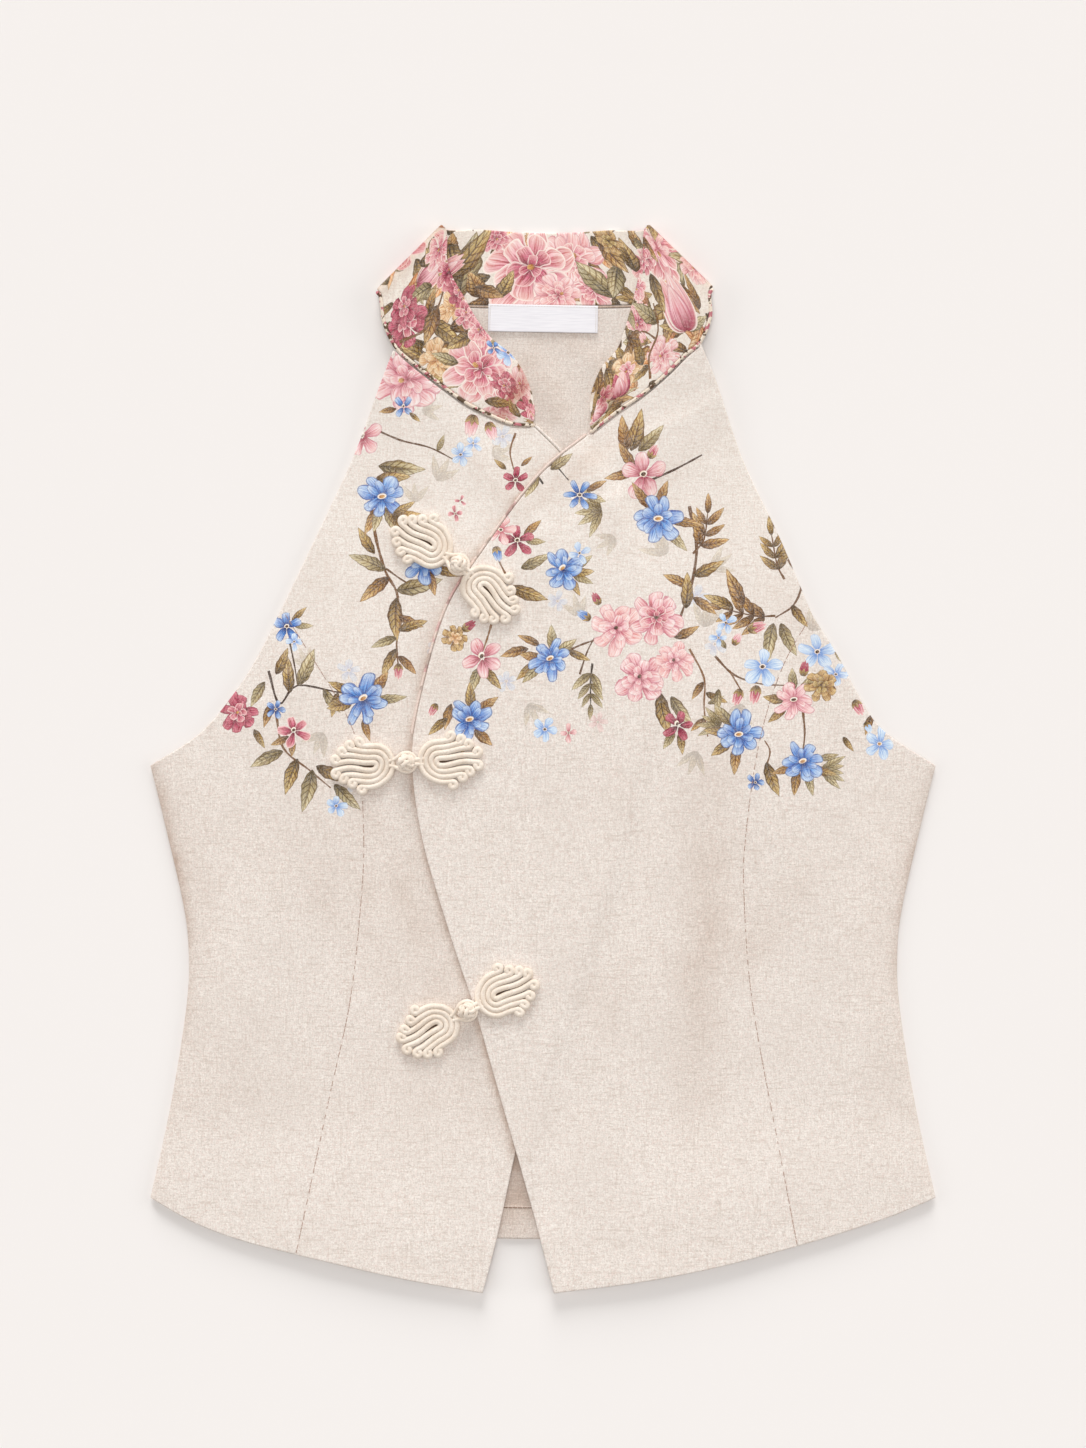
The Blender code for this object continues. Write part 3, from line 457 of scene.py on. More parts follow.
def bud(x, y, length, paint, turn=90.0, green="olive"):
    """A closed flower with two sepals at its foot."""
    made = [Stroke(x, y, turn + side, 0.9 * length, 0.42 * length, paint, "bud", bend=-side * 0.006)
            for side in (-16, 14)]
    made.append(Stroke(x, y, turn, length, 0.36 * length, paint, "bud"))
    made += [Stroke(x, y, turn + side, 0.5 * length, 0.2 * length, green, "leaf") for side in (-38, 0, 36)]
    return made


def leaf(x, y, length, paint="olive", turn=0.0, bend=0.0, slim=0.34):
    return [Stroke(x, y, turn, length, slim * length, paint, "leaf", bend=bend, ruffle=0.05)]


def leaves(rows, curl=None, slim=0.34):
    """Leaves from rows of x, y, length, paint and turn, bent a little, or at random up to curl either way."""
    made = []
    for x, y, length, paint, turn, *bend in rows:
        bend = bend[0] if bend else 0.1 if curl is None else RANDOM.uniform(-curl, curl)
        made += leaf(x, y, length, paint, turn, bend, slim)
    return made


def peonies(rows):
    """Peonies from rows of x, y, radius, paint and inner paint, turned at random."""
    made = []
    for x, y, radius, paint, inner in rows:
        made += peony(x, y, radius, paint, RANDOM.uniform(0, 360), inner)
    return made


def twigs(*rows):
    """Thin stems from rows of a width and the points that they pass."""
    return [Twig(points, width) for width, *points in rows]


def drawn(*rows):
    """Motifs from rows of a function and what it takes."""
    return [stroke for motif, *values in rows for stroke in motif(*values)]


def fan(x, y, length, paint="grey", turn=0.0, spread=100.0, count=5):
    """Small leaves that spread from one point."""
    return [
        Stroke(x, y, turn + spread * (i / (count - 1) - 0.5), wobble(length), 0.3 * length, paint, "leaf",
               bend=RANDOM.uniform(-0.1, 0.1))
        for i in range(count)
    ]


def spray(points, length, paint="brown", pairs=4, width=0.9):
    """A stem with leaves on both sides and one at its end."""
    made = [Twig(points, width)]
    line = curve_through(points, 8)
    stations = evenly(line, pairs + 2)[1:]
    heading = np.degrees(np.arctan2(*np.gradient(evenly(line, pairs + 2), axis=0)[1:].T[::-1]))
    for i, ((x, y), ahead) in enumerate(zip(stations, heading)):
        size = length * (1.05 - 0.12 * i)
        if i == len(stations) - 1:
            made += leaf(x, y, 1.1 * size, paint, ahead, RANDOM.uniform(-0.1, 0.1))
            break
        for side in (-1, 1):
            made += leaf(x, y, wobble(size), paint, ahead + side * RANDOM.uniform(38, 55), -side * 0.12)
    return made


def faded(rows):
    """Pale leaves and flowers that show faintly between the printed ones."""
    made = []
    for x, y, size, paint, turn in rows:
        if paint in ("sky", "blush"):
            made += blossom(x, y, 0.5 * size, paint, 5, turn)
        else:
            made += fan(x, y, size, paint, turn, 70, 3)
    for stroke in made:
        stroke.cover = FADED_COVER
    return made


def print_of_right_front():
    """The strokes on the wearer's right front."""
    made = faded((
        (-58, 152, 14, "grey", 60), (-28, 166, 13, "grey", 20), (-22, 176, 14, "sky", 0),
        (-70, 140, 12, "grey", 90), (-106, 48, 13, "sky", 20), (-120, 14, 14, "grey", 240),
        (-128, 50, 12, "grey", 120), (-58, 60, 12, "sky", 0), (-104, -12, 12, "sky", 30),
        (-66, 190, 12, "grey", 10), (-52, 36, 12, "grey", 200),
    ))
    made += twigs(
        (0.9, (-94, 181), (-78, 174), (-62, 170), (-48, 163)),
        (1.3, (-94, 137), (-91, 119), (-86, 102), (-80, 91), (-79, 78), (-80, 62), (-79, 50)),
        (0.8, (-86, 104), (-76, 97), (-66, 92)), (0.9, (-15, 178), (-18, 168), (-16, 158)),
        (1.0, (-150, 48), (-144, 30), (-134, 40), (-110, 36), (-98, 38)),
        (1.0, (-146, 26), (-142, 6), (-128, -6), (-116, -16)),
        (0.8, (-139, 66), (-136, 52), (-134, 40)),
    )
    made += leaves((
        (-86, 103, 22, "grey", 152), (-92, 112, 17, "olive", 128, -0.1), (-84, 99, 21, "brown", 214),
        (-80, 92, 26, "grey", 8), (-80, 88, 24, "olive", 262, 0.15), (-79, 78, 15, "brown", 330),
        (-79, 70, 17, "olive", 24, -0.1), (-80, 66, 15, "grey", 195), (-80, 60, 17, "olive", 236),
        (-79, 56, 14, "brown", 320, -0.1), (-58, 168, 10, "grey", 60), (-90, 160, 26, "grey", 350),
        (-92, 152, 20, "olive", 12, -0.1), (-134, 40, 22, "grey", 60),
        (-138, 36, 20, "olive", 100, -0.1), (-120, 38, 16, "grey", 300), (-112, 36, 14, "olive", 250),
        (-142, 4, 20, "grey", 200), (-134, 0, 21, "olive", 245), (-126, -6, 24, "grey", 262, -0.1),
        (-124, -4, 20, "olive", 330), (-114, -14, 20, "grey", 310), (-148, 30, 14, "brown", 245),
        (-152, 42, 16, "grey", 235), (-146, 46, 16, "olive", 60), (-104, 34, 15, "olive", 205, -0.1),
        (-98, 22, 13, "brown", 280),
    ))
    return made + drawn(
        (peony, -74, 207, 19, "pink", 200, None, "gold", 0.9), (blossom, -99, 176, 11, "pink", 5, 30),
        (blossom, -76, 192, 6, "blue", 4, 45, 0.8), (leaf, -80, 191, 10, "brown", 190),
        (leaf, -73, 189, 8, "olive", 320), (blossom, -45, 166, 6.5, "sky", 5, 10),
        (blossom, -38, 172, 5, "sky", 4, 50), (bud, -38, 188, 13, "pink", 260),
        (bud, -30, 184, 11, "pink", 290), (blossom, -15, 152, 8, "wine", 5, 15, 0.7),
        (leaf, -20, 158, 9, "olive", 140), (leaf, -12, 160, 8, "brown", 40),
        (double_blossom, -88, 143, 13, "blue", 10), (fan, -82, 134, 14, "olive", 340, 90, 4),
        (double_blossom, -64, 108, 12, "blue", 60), (blossom, -48, 134, 4.5, "rose", 4, 10),
        (blossom, -45, 141, 3.5, "rose", 3, 70), (bud, -79, 52, 9, "rose", 270),
        (double_blossom, -98, 32, 13.5, "blue", 30), (blossom, -140, 72, 8.5, "blue", 5, 20),
        (blossom, -136, 64, 5, "sky", 4, 0), (peony, -167, 25, 10.5, "wine", 15, "rose"),
        (blossom, -146, 27, 5.5, "blue", 5, 0), (blossom, -136, 15, 9, "rose", 5, 40),
        (blossom, -113, -26, 6, "sky", 5, 12), (leaf, -158, 16, 12, "olive", 300),
        (leaf, -172, 34, 10, "grey", 120),
    )


def print_of_left_front():
    """The strokes on the wearer's left front."""
    made = faded((
        (84, 88, 14, "sky", 10), (88, 72, 15, "grey", 80), (92, 104, 13, "grey", 30),
        (94, 62, 13, "sky", 40), (68, 112, 15, "grey", 140), (108, 30, 13, "grey", 260),
        (146, 70, 13, "grey", 60), (168, 62, 12, "sky", 0), (20, 78, 13, "grey", 110),
        (8, 86, 12, "sky", 0), (-20, 42, 12, "sky", 20), (-8, 30, 13, "grey", 300),
        (40, 120, 12, "grey", 200), (84, 4, 13, "grey", 250), (176, 46, 13, "grey", 290),
        (30, 20, 11, "blush", 0),
    ))
    made += twigs(
        (1.4, (80, 138), (84, 116), (81, 94), (76, 80), (72, 66)),
        (1.1, (54, 150), (72, 158), (87, 166)), (0.9, (80, 60), (88, 44), (88, 28), (90, 12)),
        (1.0, (94, 56), (104, 46), (118, 41), (132, 40)), (0.8, (102, 48), (106, 41), (109, 36)),
        (1.1, (134, 109), (141, 96), (137, 84), (127, 77)), (1.0, (142, 26), (143, 14), (142, 4)),
        (1.0, (5, 54), (16, 60), (26, 64), (36, 66)), (0.8, (20, 46), (24, 58), (28, 66)),
        (0.9, (-40, 26), (-38, 40), (-34, 52)), (0.9, (-28, 74), (-31, 64), (-34, 56)),
        (0.8, (-20, 100), (-24, 108), (-26, 116)), (0.8, (0, 150), (-4, 158), (6, 160), (14, 152)),
        (0.8, (122, -4), (124, 4), (121, 10)),
    )
    made += drawn(
        (spray, [(127, 78), (116, 78), (98, 82)], 16, "brown", 4),
        (spray, [(132, 98), (128, 106), (125, 122)], 14, "olive", 3),
        (spray, [(82, 112), (88, 120), (90, 134)], 15, "brown", 3),
        (spray, [(27, 52), (26, 42), (26, 30)], 12, "grey", 3),
    )
    made += leaves((
        (48, 168, 24, "olive", 70), (46, 168, 20, "brown", 104, -0.1), (52, 168, 20, "grey", 40),
        (82, 100, 19, "olive", 20), (80, 94, 16, "brown", 150), (82, 88, 16, "brown", 330, -0.1),
        (78, 82, 20, "olive", 82), (72, 66, 15, "brown", 20), (64, 36, 24, "olive", 275, 0.12),
        (70, 34, 20, "grey", 300), (110, 84, 22, "brown", 122, -0.1), (104, 82, 18, "olive", 150),
        (126, 74, 22, "grey", 255), (130, 74, 20, "grey", 290), (136, 84, 15, "olive", 300),
        (140, 100, 14, "olive", 50), (88, 42, 12, "brown", 230), (89, 36, 13, "olive", 330),
        (89, 22, 11, "brown", 215), (90, 30, 10, "grey", 20), (122, -2, 20, "olive", 285),
        (96, 38, 13, "grey", 262), (-8, 60, 16, "brown", 190), (-4, 52, 14, "olive", 215),
        (-2, 62, 13, "brown", 150), (14, 59, 13, "olive", 330), (-50, 30, 15, "brown", 250),
        (-52, 22, 14, "olive", 215), (-24, 96, 18, "grey", 300), (-18, 94, 22, "olive", 335),
        (-12, 104, 18, "grey", 20), (-30, 98, 16, "olive", 250), (-2, 154, 14, "grey", 230),
        (4, 158, 15, "grey", 30), (100, 60, 9, "grey", 120), (160, 60, 9, "grey", 290),
        (180, 24, 12, "brown", 245), (164, 12, 10, "olive", 300), (150, 0, 12, "grey", 5),
    ))
    return made + drawn(
        (fan, 32, 136, 16, "grey", 190, 110, 5), (fan, 97, 18, 13, "grey", 150, 100, 5),
        (fan, 152, -6, 14, "grey", 352, 80, 5), (blossom, 55, 155, 13, "pink", 5, 20),
        (bud, 58, 164, 9, "rose", 60), (double_blossom, 63, 131, 14, "blue", 5),
        (blossom, 20, 144, 9.5, "blue", 6, 0, 0.5), (double_blossom, 11, 103, 11, "blue", 40),
        (blossom, 20, 112, 6, "sky", 4, 20), (blossom, -14, 119, 9.5, "wine", 5, 18, 0.7),
        (blossom, -23, 125, 8, "blush", 5, 0), (bud, -26, 116, 9, "blue", 285),
        (peony, -48, 66, 7, "brown", 0, "tan"), (bud, -44, 70, 9, "wine", 35),
        (blossom, -33, 55, 12, "pink", 5, 50), (bud, -58, 30, 8, "rose", 240),
        (double_blossom, -40, 21, 12, "blue", 15), (double_blossom, 4, 54, 11, "blue", 25),
        (blossom, 1, 16, 7.5, "sky", 5, 0), (blossom, 14, 14, 5, "blush", 4, 0),
        (peony, 40, 71, 14, "blush", 20, "pink", "dark"),
        (peony, 62, 77, 14, "pink", 0, "rose", "dark"), (peony, 53, 44, 14, "pink", 45, None, "dark"),
        (peony, 72, 53, 11, "blush", 70, "pink", "dark"), (bud, 26, 76, 9, "blue", 150),
        (bud, 31, 84, 8, "wine", 120), (blossom, 74, 18, 9, "wine", 5, 70, 0.7),
        (double_blossom, 107, 13, 12.5, "blue", 8), (bud, 108, 38, 10, "rose", 250),
        (bud, 117, 40, 11, "rose", 258), (blossom, 120, 50, 11, "sky", 5, 10),
        (bud, 112, 70, 11, "rose", 20), (bud, 104, 62, 8, "pink", 60),
        (blossom, 100, 74, 6, "sky", 4, 30), (blossom, 96, 66, 5, "sky", 4, 0),
        (blossom, 150, 58, 10, "sky", 5, 20), (blossom, 160, 46, 7, "sky", 5, 0),
        (double_blossom, 137, 32, 11, "pink", 10, "dark"), (bud, 142, 45, 9, "wine", 80),
        (peony, 152, 40, 9, "brown", 30, "olive", "dark"), (double_blossom, 142, -2, 11.5, "blue", 20),
        (bud, 170, 32, 10, "rose", 300), (blossom, 184, 8, 8.5, "sky", 5, 5, 0.80, "gold"),
        (blossom, 116, -13, 5, "blue", 5, 0), (bud, 176, 20, 7, "sky", 300),
    )


def thicket(low, high, gap=9.5, height=42.0):
    """Leaves of mixed greens that nearly cover a stretch of the collar band."""
    made = []
    for x in np.arange(low, high, gap):
        for y in np.arange(3, height, gap):
            at_x, at_y = x + RANDOM.uniform(-3.5, 3.5), y + RANDOM.uniform(-3.5, 3.5)
            paint = RANDOM.choice(("olive", "olive", "grey", "brown", "tan"))
            made += leaf(at_x, at_y, RANDOM.uniform(12, 21), paint, RANDOM.uniform(0, 360),
                         RANDOM.uniform(-0.25, 0.25), RANDOM.uniform(0.34, 0.5))
    return made


def tulip(x, y, length, turn, paint="petal"):
    """A half-open flower of broad cupped petals, seen from its side."""
    made = leaf(x, y, 0.6 * length, "olive", turn + 70) + leaf(x, y, 0.6 * length, "grey", turn - 80)
    for side, size, colour in (
        (-32, 0.88, paint), (30, 0.9, paint), (-12, 1.0, "blush"), (13, 0.96, paint), (0, 0.8, "pink"),
    ):
        made.append(Stroke(x, y, turn + side, size * length, 0.5 * length, colour, "bud", bend=-side * 0.008))
    return made


def print_of_collar():
    """The strokes on the collar's outer face: x runs along the band from its left end, y up from the seam."""
    made = thicket(-4, 412, 10.0, 47)
    made += peonies((
        (38, 24, 12, "tan", "petal"), (58, 9, 11, "blush", "petal"), (62, 34, 10, "petal", "rose"),
        (104, 33, 16, "petal", "blush"), (134, 20, 16, "petal", "rose"),
        (166, 24, 18, "rose", "petal"), (200, 18, 17, "petal", "rose"),
        (232, 24, 18, "petal", "blush"), (262, 20, 16, "rose", "wine"), (302, 10, 12, "wine", "rose"),
        (316, 34, 9, "tan", None), (328, 9, 11, "tan", "tan"), (350, 22, 22, "petal", "rose"),
        (374, 34, 11, "blush", "petal"), (372, 9, 12, "petal", "pink"), (390, 24, 13, "wine", "rose"),
    ))
    made += drawn(
        (tulip, 78, 8, 27, 55), (tulip, 10, 8, 22, 100, "rose"), (tulip, 24, 10, 20, 60, "wine"),
        (tulip, 398, 8, 20, 110, "rose"), (tulip, 290, 22, 20, 80),
    )
    made += leaves((
        (4, 26, 18, "olive", 40), (16, 34, 16, "brown", 330), (30, 38, 18, "olive", 250),
        (46, 16, 18, "olive", 70), (50, 38, 20, "brown", 300), (70, 22, 20, "grey", 100),
        (88, 36, 18, "olive", 230), (92, 6, 16, "brown", 30), (118, 10, 20, "grey", 120),
        (312, 20, 22, "olive", 20), (322, 26, 20, "brown", 60), (334, 34, 18, "olive", 250),
        (338, 16, 16, "grey", 210), (362, 6, 18, "olive", 30), (384, 8, 16, "olive", 140),
        (402, 30, 14, "brown", 200), (308, 28, 20, "brown", 300), (298, 30, 18, "grey", 250),
        (286, 44, 16, "olive", 330), (306, 44, 15, "brown", 210), (330, 45, 14, "grey", 200),
        (118, 44, 15, "olive", 215), (102, 45, 14, "brown", 250), (84, 44, 14, "olive", 320),
        (64, 45, 13, "grey", 230), (280, 24, 16, "olive", 60), (124, 26, 16, "brown", 240),
    ), 0.15, 0.42)
    made += twigs(
        (1.2, (44, 4), (52, 16), (66, 20), (76, 30)), (0.9, (62, 18), (60, 28), (52, 36)),
        (1.2, (306, 2), (312, 16), (308, 30), (300, 40)),
    )
    made += peonies((
        (284, 37, 10, "petal", "rose"), (300, 41, 9, "rose", "wine"), (122, 40, 10, "petal", "rose"),
        (112, 12, 9, "blush", "petal"), (294, 12, 9, "wine", "rose"), (336, 40, 9, "petal", "rose"),
        (366, 24, 9, "wine", "rose"), (18, 22, 8, "rose", "wine"), (396, 36, 9, "rose", "wine"),
        (312, 42, 8, "wine", "rose"), (324, 38, 7, "rose", "petal"), (92, 42, 8, "rose", "petal"),
        (76, 42, 7, "petal", "rose"),
    ))
    return made + drawn(
        (blossom, 356, 41, 8, "sky", 5, 20), (blossom, 348, 38, 5, "blue", 4, 0),
        (bud, 56, 22, 9, "blush", 80),
    )


def print_of_collar_lining():
    """The strokes on the collar's inner face, which shows at the back of the neck."""
    made = thicket(-4, 412, 12.5)
    made += peonies((
        (20, 20, 15, "petal", "rose"), (58, 22, 17, "rose", "petal"), (98, 20, 16, "petal", "blush"),
        (134, 20, 12, "petal", "blush"), (176, 27, 19, "blush", "petal"),
        (200, 22, 25, "petal", "rose"), (168, 10, 12, "petal", "rose"), (186, 6, 12, "blush", "petal"),
        (243, 7, 12, "petal", "blush"), (262, 22, 14, "petal", "rose"), (226, 38, 9, "rose", None),
        (300, 22, 16, "blush", "petal"), (340, 20, 17, "petal", "rose"),
        (380, 22, 16, "rose", "petal"),
    ))
    made += leaves((
        (232, 6, 36, "grey", 75), (242, 12, 34, "olive", 110), (222, 4, 18, "brown", 60),
        (214, 4, 17, "olive", 110), (226, 10, 16, "brown", 200), (160, 4, 26, "grey", 60),
        (152, 22, 20, "grey", 300), (148, 30, 22, "brown", 60), (156, 38, 22, "brown", 250),
        (144, 18, 20, "olive", 100), (254, 34, 22, "olive", 230), (270, 34, 22, "olive", 260),
    ), 0.12, 0.46)
    return made + drawn((peony, 150, 36, 8, "brown", 0, "olive", "dark"), (tulip, 250, 14, 17, 130, "rose"))


# Cloth shells: one triangulation for both faces, with a rounded edge between them
def triangulated(outline, motif_sets, step):
    """Plan points, triangles and, for each set of strokes, the topmost stroke of each triangle."""
    low, high = outline.min(axis=0), outline.max(axis=0)
    points, edges, faces = [outline], [], [list(range(len(outline)))]
    count = len(outline)
    owners = [None]
    for which, motifs in enumerate(motif_sets):
        for rank, motif in enumerate(motifs):
            ring = motif.outline()
            apart = (ring.max(axis=0) < low).any() or (ring.min(axis=0) > high).any()
            if apart or not inside(outline, ring).any():
                continue
            faces.append(list(range(count, count + len(ring))))
            owners.append((which, rank))
            points.append(ring)
            count += len(ring)
            spine = motif.spine()
            if spine is not None:
                edges += [(count + i, count + i + 1) for i in range(len(spine) - 1)]
                points.append(spine)
                count += len(spine)
    closed = np.vstack([outline, outline[:1]])
    xs, ys = np.meshgrid(np.arange(low[0], high[0], step), np.arange(low[1], high[1], step))
    grid = np.column_stack([xs.ravel(), ys.ravel()])
    grid = grid + np.random.default_rng(5).uniform(-0.22, 0.22, grid.shape) * step
    grid = grid[inside(outline, grid)]
    grid = grid[np.abs(distance_to(closed, *grid.T)) > 0.45 * step]
    for inset in (0.4, 1.0):
        rows = offset(closed, inset)[:-1]
        rows = rows[inside(outline, rows)]
        grid = np.vstack([grid, rows[np.abs(distance_to(closed, *rows.T)) > 0.8 * inset]])
    points.append(grid)
    flat = np.vstack(points)
    result = delaunay_2d_cdt([tuple(p) for p in flat], edges, faces, 0, 1e-4)
    plan = np.array([(p[0], p[1]) for p in result[0]])
    triangles, tops = [], [[] for _ in motif_sets]
    for face, sources in zip(result[2], result[5]):
        if 0 not in sources or len(face) != 3:
            continue
        triangles.append(face)
        best = [-1] * len(motif_sets)
        for source in sources:
            if source:
                which, rank = owners[source]
                best[which] = max(best[which], rank)
        for top, rank in zip(tops, best):
            top.append(rank)
    triangles = np.array(triangles)
    used = np.unique(triangles)
    renumber = np.full(len(plan), -1)
    renumber[used] = np.arange(len(used))
    return plan[used], renumber[triangles], [np.array(top) for top in tops]


def boundary_of(triangles):
    """The outer loop of a triangulation, in the direction of its triangles."""
    sides = np.vstack([triangles[:, [0, 1]], triangles[:, [1, 2]], triangles[:, [2, 0]]])
    known = {tuple(side) for side in sides.tolist()}
    follow = {a: b for a, b in known if (b, a) not in known}
    best = []
    while follow:
        start, at = next(iter(follow.items()))
        loop = [start]
        del follow[start]
        while at != start and at in follow:
            loop.append(at)
            at = follow.pop(at)
        if len(loop) > len(best):
            best = loop
    return best


SHEETS = {}


def unit(vectors):
    """Vectors of length 1."""
    return vectors / np.maximum(np.linalg.norm(vectors, axis=-1, keepdims=True), 1e-9)


def vertex_normals(points, triangles):
    """Each point's normal, averaged over its triangles by area."""
    corners = points[triangles]
    face = np.cross(corners[:, 1] - corners[:, 0], corners[:, 2] - corners[:, 0])
    total = np.zeros_like(points)
    for k in range(3):
        np.add.at(total, triangles[:, k], face)
    return unit(total)


def stroke_values(plan, triangles, tops, motifs):
    """Body colour, rim colour and (u, v, seed) for each corner of each triangle."""
    count = len(triangles)
    ink, rim, mark = np.zeros((count, 3, 4)), np.zeros((count, 3, 4)), np.zeros((count, 3, 3))
    for rank in np.unique(tops):
        if rank < 0:
            continue
        motif = motifs[rank]
        rows = np.flatnonzero(tops == rank)
        u, v = motif.local(plan[triangles[rows]].reshape(-1, 2))
        u = np.clip(u, 0, 1)
        paint = motif.paint
        low, high = np.clip(u * 2, 0, 1)[:, None], np.clip(u * 2 - 1, 0, 1)[:, None]
        base, mid, tip = np.array((paint.base, paint.mid, paint.tip))
        body = base * (1 - low) + mid * (low - high) + tip * high
        if motif.leaf:
            body = body * np.where(v > 0, 1.12, 0.86)[:, None]
        ink[rows] = np.column_stack([body, np.full(len(u), motif.cover)]).reshape(-1, 3, 4)
        rim[rows] = (*paint.rim, paint.rim_share)
        seed = motif.seed + (1.0 if motif.leaf else 0.0)
        mark[rows] = np.column_stack([u, v, np.full(len(u), seed)]).reshape(-1, 3, 3)
    return ink, rim, mark


def make_mesh(name, points, faces):
    """A smooth mesh, from millimetres to metres."""
    mesh = bpy.data.meshes.new(name)
    mesh.from_pydata((np.asarray(points) * METRES).tolist(), [], faces)
    mesh.shade_smooth()
    mesh.update()
    return mesh


def add_object(name, mesh, look, replaces=True):
    """A piece on the body, in place of the node of its name unless it is a small extra."""
    obj = bpy.data.objects.new("dressed_" + name, mesh)
    bpy.context.scene.collection.objects.link(obj)
    mesh.materials.append(look)
    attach(obj, "root")
    if replaces:
        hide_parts(name)


RIM_ANGLES = (50, 20, -20, -50)


def shell(name, outline, place, look, thickness=1.1, front=(), lining=(), step=3.0, far_scale=0.25,
          rests_on=("back",), shade=None):
    """A closed sheet of cloth: place lifts plan points to its upper face, shade says where shade is painted
    on it.
    """
    radius = 0.5 * thickness
    SHEETS[name] = (outline, rests_on)
    closed = np.vstack([outline[-1:], outline, outline[:1]])
    plan, triangles, tops = triangulated(offset(closed, radius)[1:-1], (front, lining), step)
    upper = place(plan)
    normals = vertex_normals(upper, triangles)
    lower = upper - thickness * normals
    loop = boundary_of(triangles)
    edge, edge_normal = upper[loop], normals[loop]
    outward = unit(np.cross(np.roll(edge, -1, axis=0) - np.roll(edge, 1, axis=0), edge_normal))
    rings = [edge - radius * edge_normal + radius * (cos * outward + sin * edge_normal)
             for cos, sin in map(toward, RIM_ANGLES)]
    total, around = len(plan), len(loop)
    points = np.vstack([upper, lower, *rings])
    ring_ids = [2 * total + k * around + np.arange(around) for k in range(len(rings))]
    ring_ids = [np.array(loop), *ring_ids, np.array(loop) + total]
    faces = triangles.tolist() + (triangles[:, ::-1] + total).tolist()
    for above, below in zip(ring_ids, ring_ids[1:]):
        faces += np.column_stack([above, below, np.roll(below, -1), np.roll(above, -1)]).tolist()
    mesh = make_mesh(name, points, faces)
    store_print(mesh, plan, triangles, tops, (front, lining), loop)
    # The amount of painted shade at each point, copied onto the rounded edge
    if shade is not None:
        near = shade(*plan.T)
        near = np.concatenate([near, near, np.tile(near[loop], len(RIM_ANGLES))])
        mesh.attributes.new("painted_shade", "FLOAT", "POINT").data.foreach_set("value", near)
    add_bake_map(mesh, plan, 6 * len(triangles), loop, far_scale)
    add_object(name, mesh, look)


def store_print(mesh, plan, triangles, tops, motif_sets, loop):
    """Writes the strokes' values on both faces and, from each, on the quads of the edge beside it."""
    half = 3 * len(triangles)
    values = [np.zeros((len(mesh.loops), size)) for size in (4, 4, 3)]
    sides = zip((triangles, triangles[:, ::-1]), tops, motif_sets, ((0, 1, 2), (3, 4)))
    for side, (corners, top, motifs, levels) in enumerate(sides):
        found = [got.reshape(half, -1) for got in stroke_values(plan, corners, top, motifs)]
        printed = found[0][:, 3] > 0
        for store, got in zip(values, found):
            store[side * half:(side + 1) * half] = got
            at_vertex = np.zeros((len(plan), store.shape[1]))
            at_vertex[corners.ravel()[printed]] = got[printed]
            here = at_vertex[loop]
            beside = np.roll(here, -1, axis=0)
            quads = np.stack([here, here, beside, beside], axis=1).reshape(-1, store.shape[1])
            for level in levels:
                first = 2 * half + level * len(quads)
                store[first:first + len(quads)] = quads
    kinds = ("FLOAT_COLOR", "color"), ("FLOAT_COLOR", "color"), ("FLOAT_VECTOR", "vector")
    for key, (kind, field), store in zip(("ink", "rim", "stroke"), kinds, values):
        mesh.attributes.new(key, kind, "CORNER").data.foreach_set(field, store.ravel())


def add_bake_map(mesh, plan, rim_start, loop, far_scale):
    """Flat texture places: the upper face at full scale, the lower face smaller beside it."""
    total = len(plan)
    low, size = plan.min(axis=0), np.ptp(plan, axis=0)
    scale = 1 / max(size[0] * (1 + far_scale) + 12, size[1] + 8)
    near = plan - low + 4
    far = (plan - low) * far_scale * (1, 1) + (size[0] + 8, 4)
    centre = near.mean(axis=0)
    rim_count = len(mesh.vertices) - 2 * total
    ring = near[loop] + 2 * unit(near[loop] - centre)
    places = np.vstack([near, far, np.tile(ring, (rim_count // len(loop), 1))])
    corner = np.empty(len(mesh.loops), int)
    mesh.loops.foreach_get("vertex_index", corner)
    uv = places[corner]
    rim = np.arange(len(corner)) >= rim_start
    lower = rim & (corner >= total) & (corner < 2 * total)
    under = near[corner[lower] - total]
    uv[lower] = under + 3 * unit(under - centre)
    mesh.uv_layers.new(name="OFBake").data.foreach_set("uv", (uv * scale).ravel())


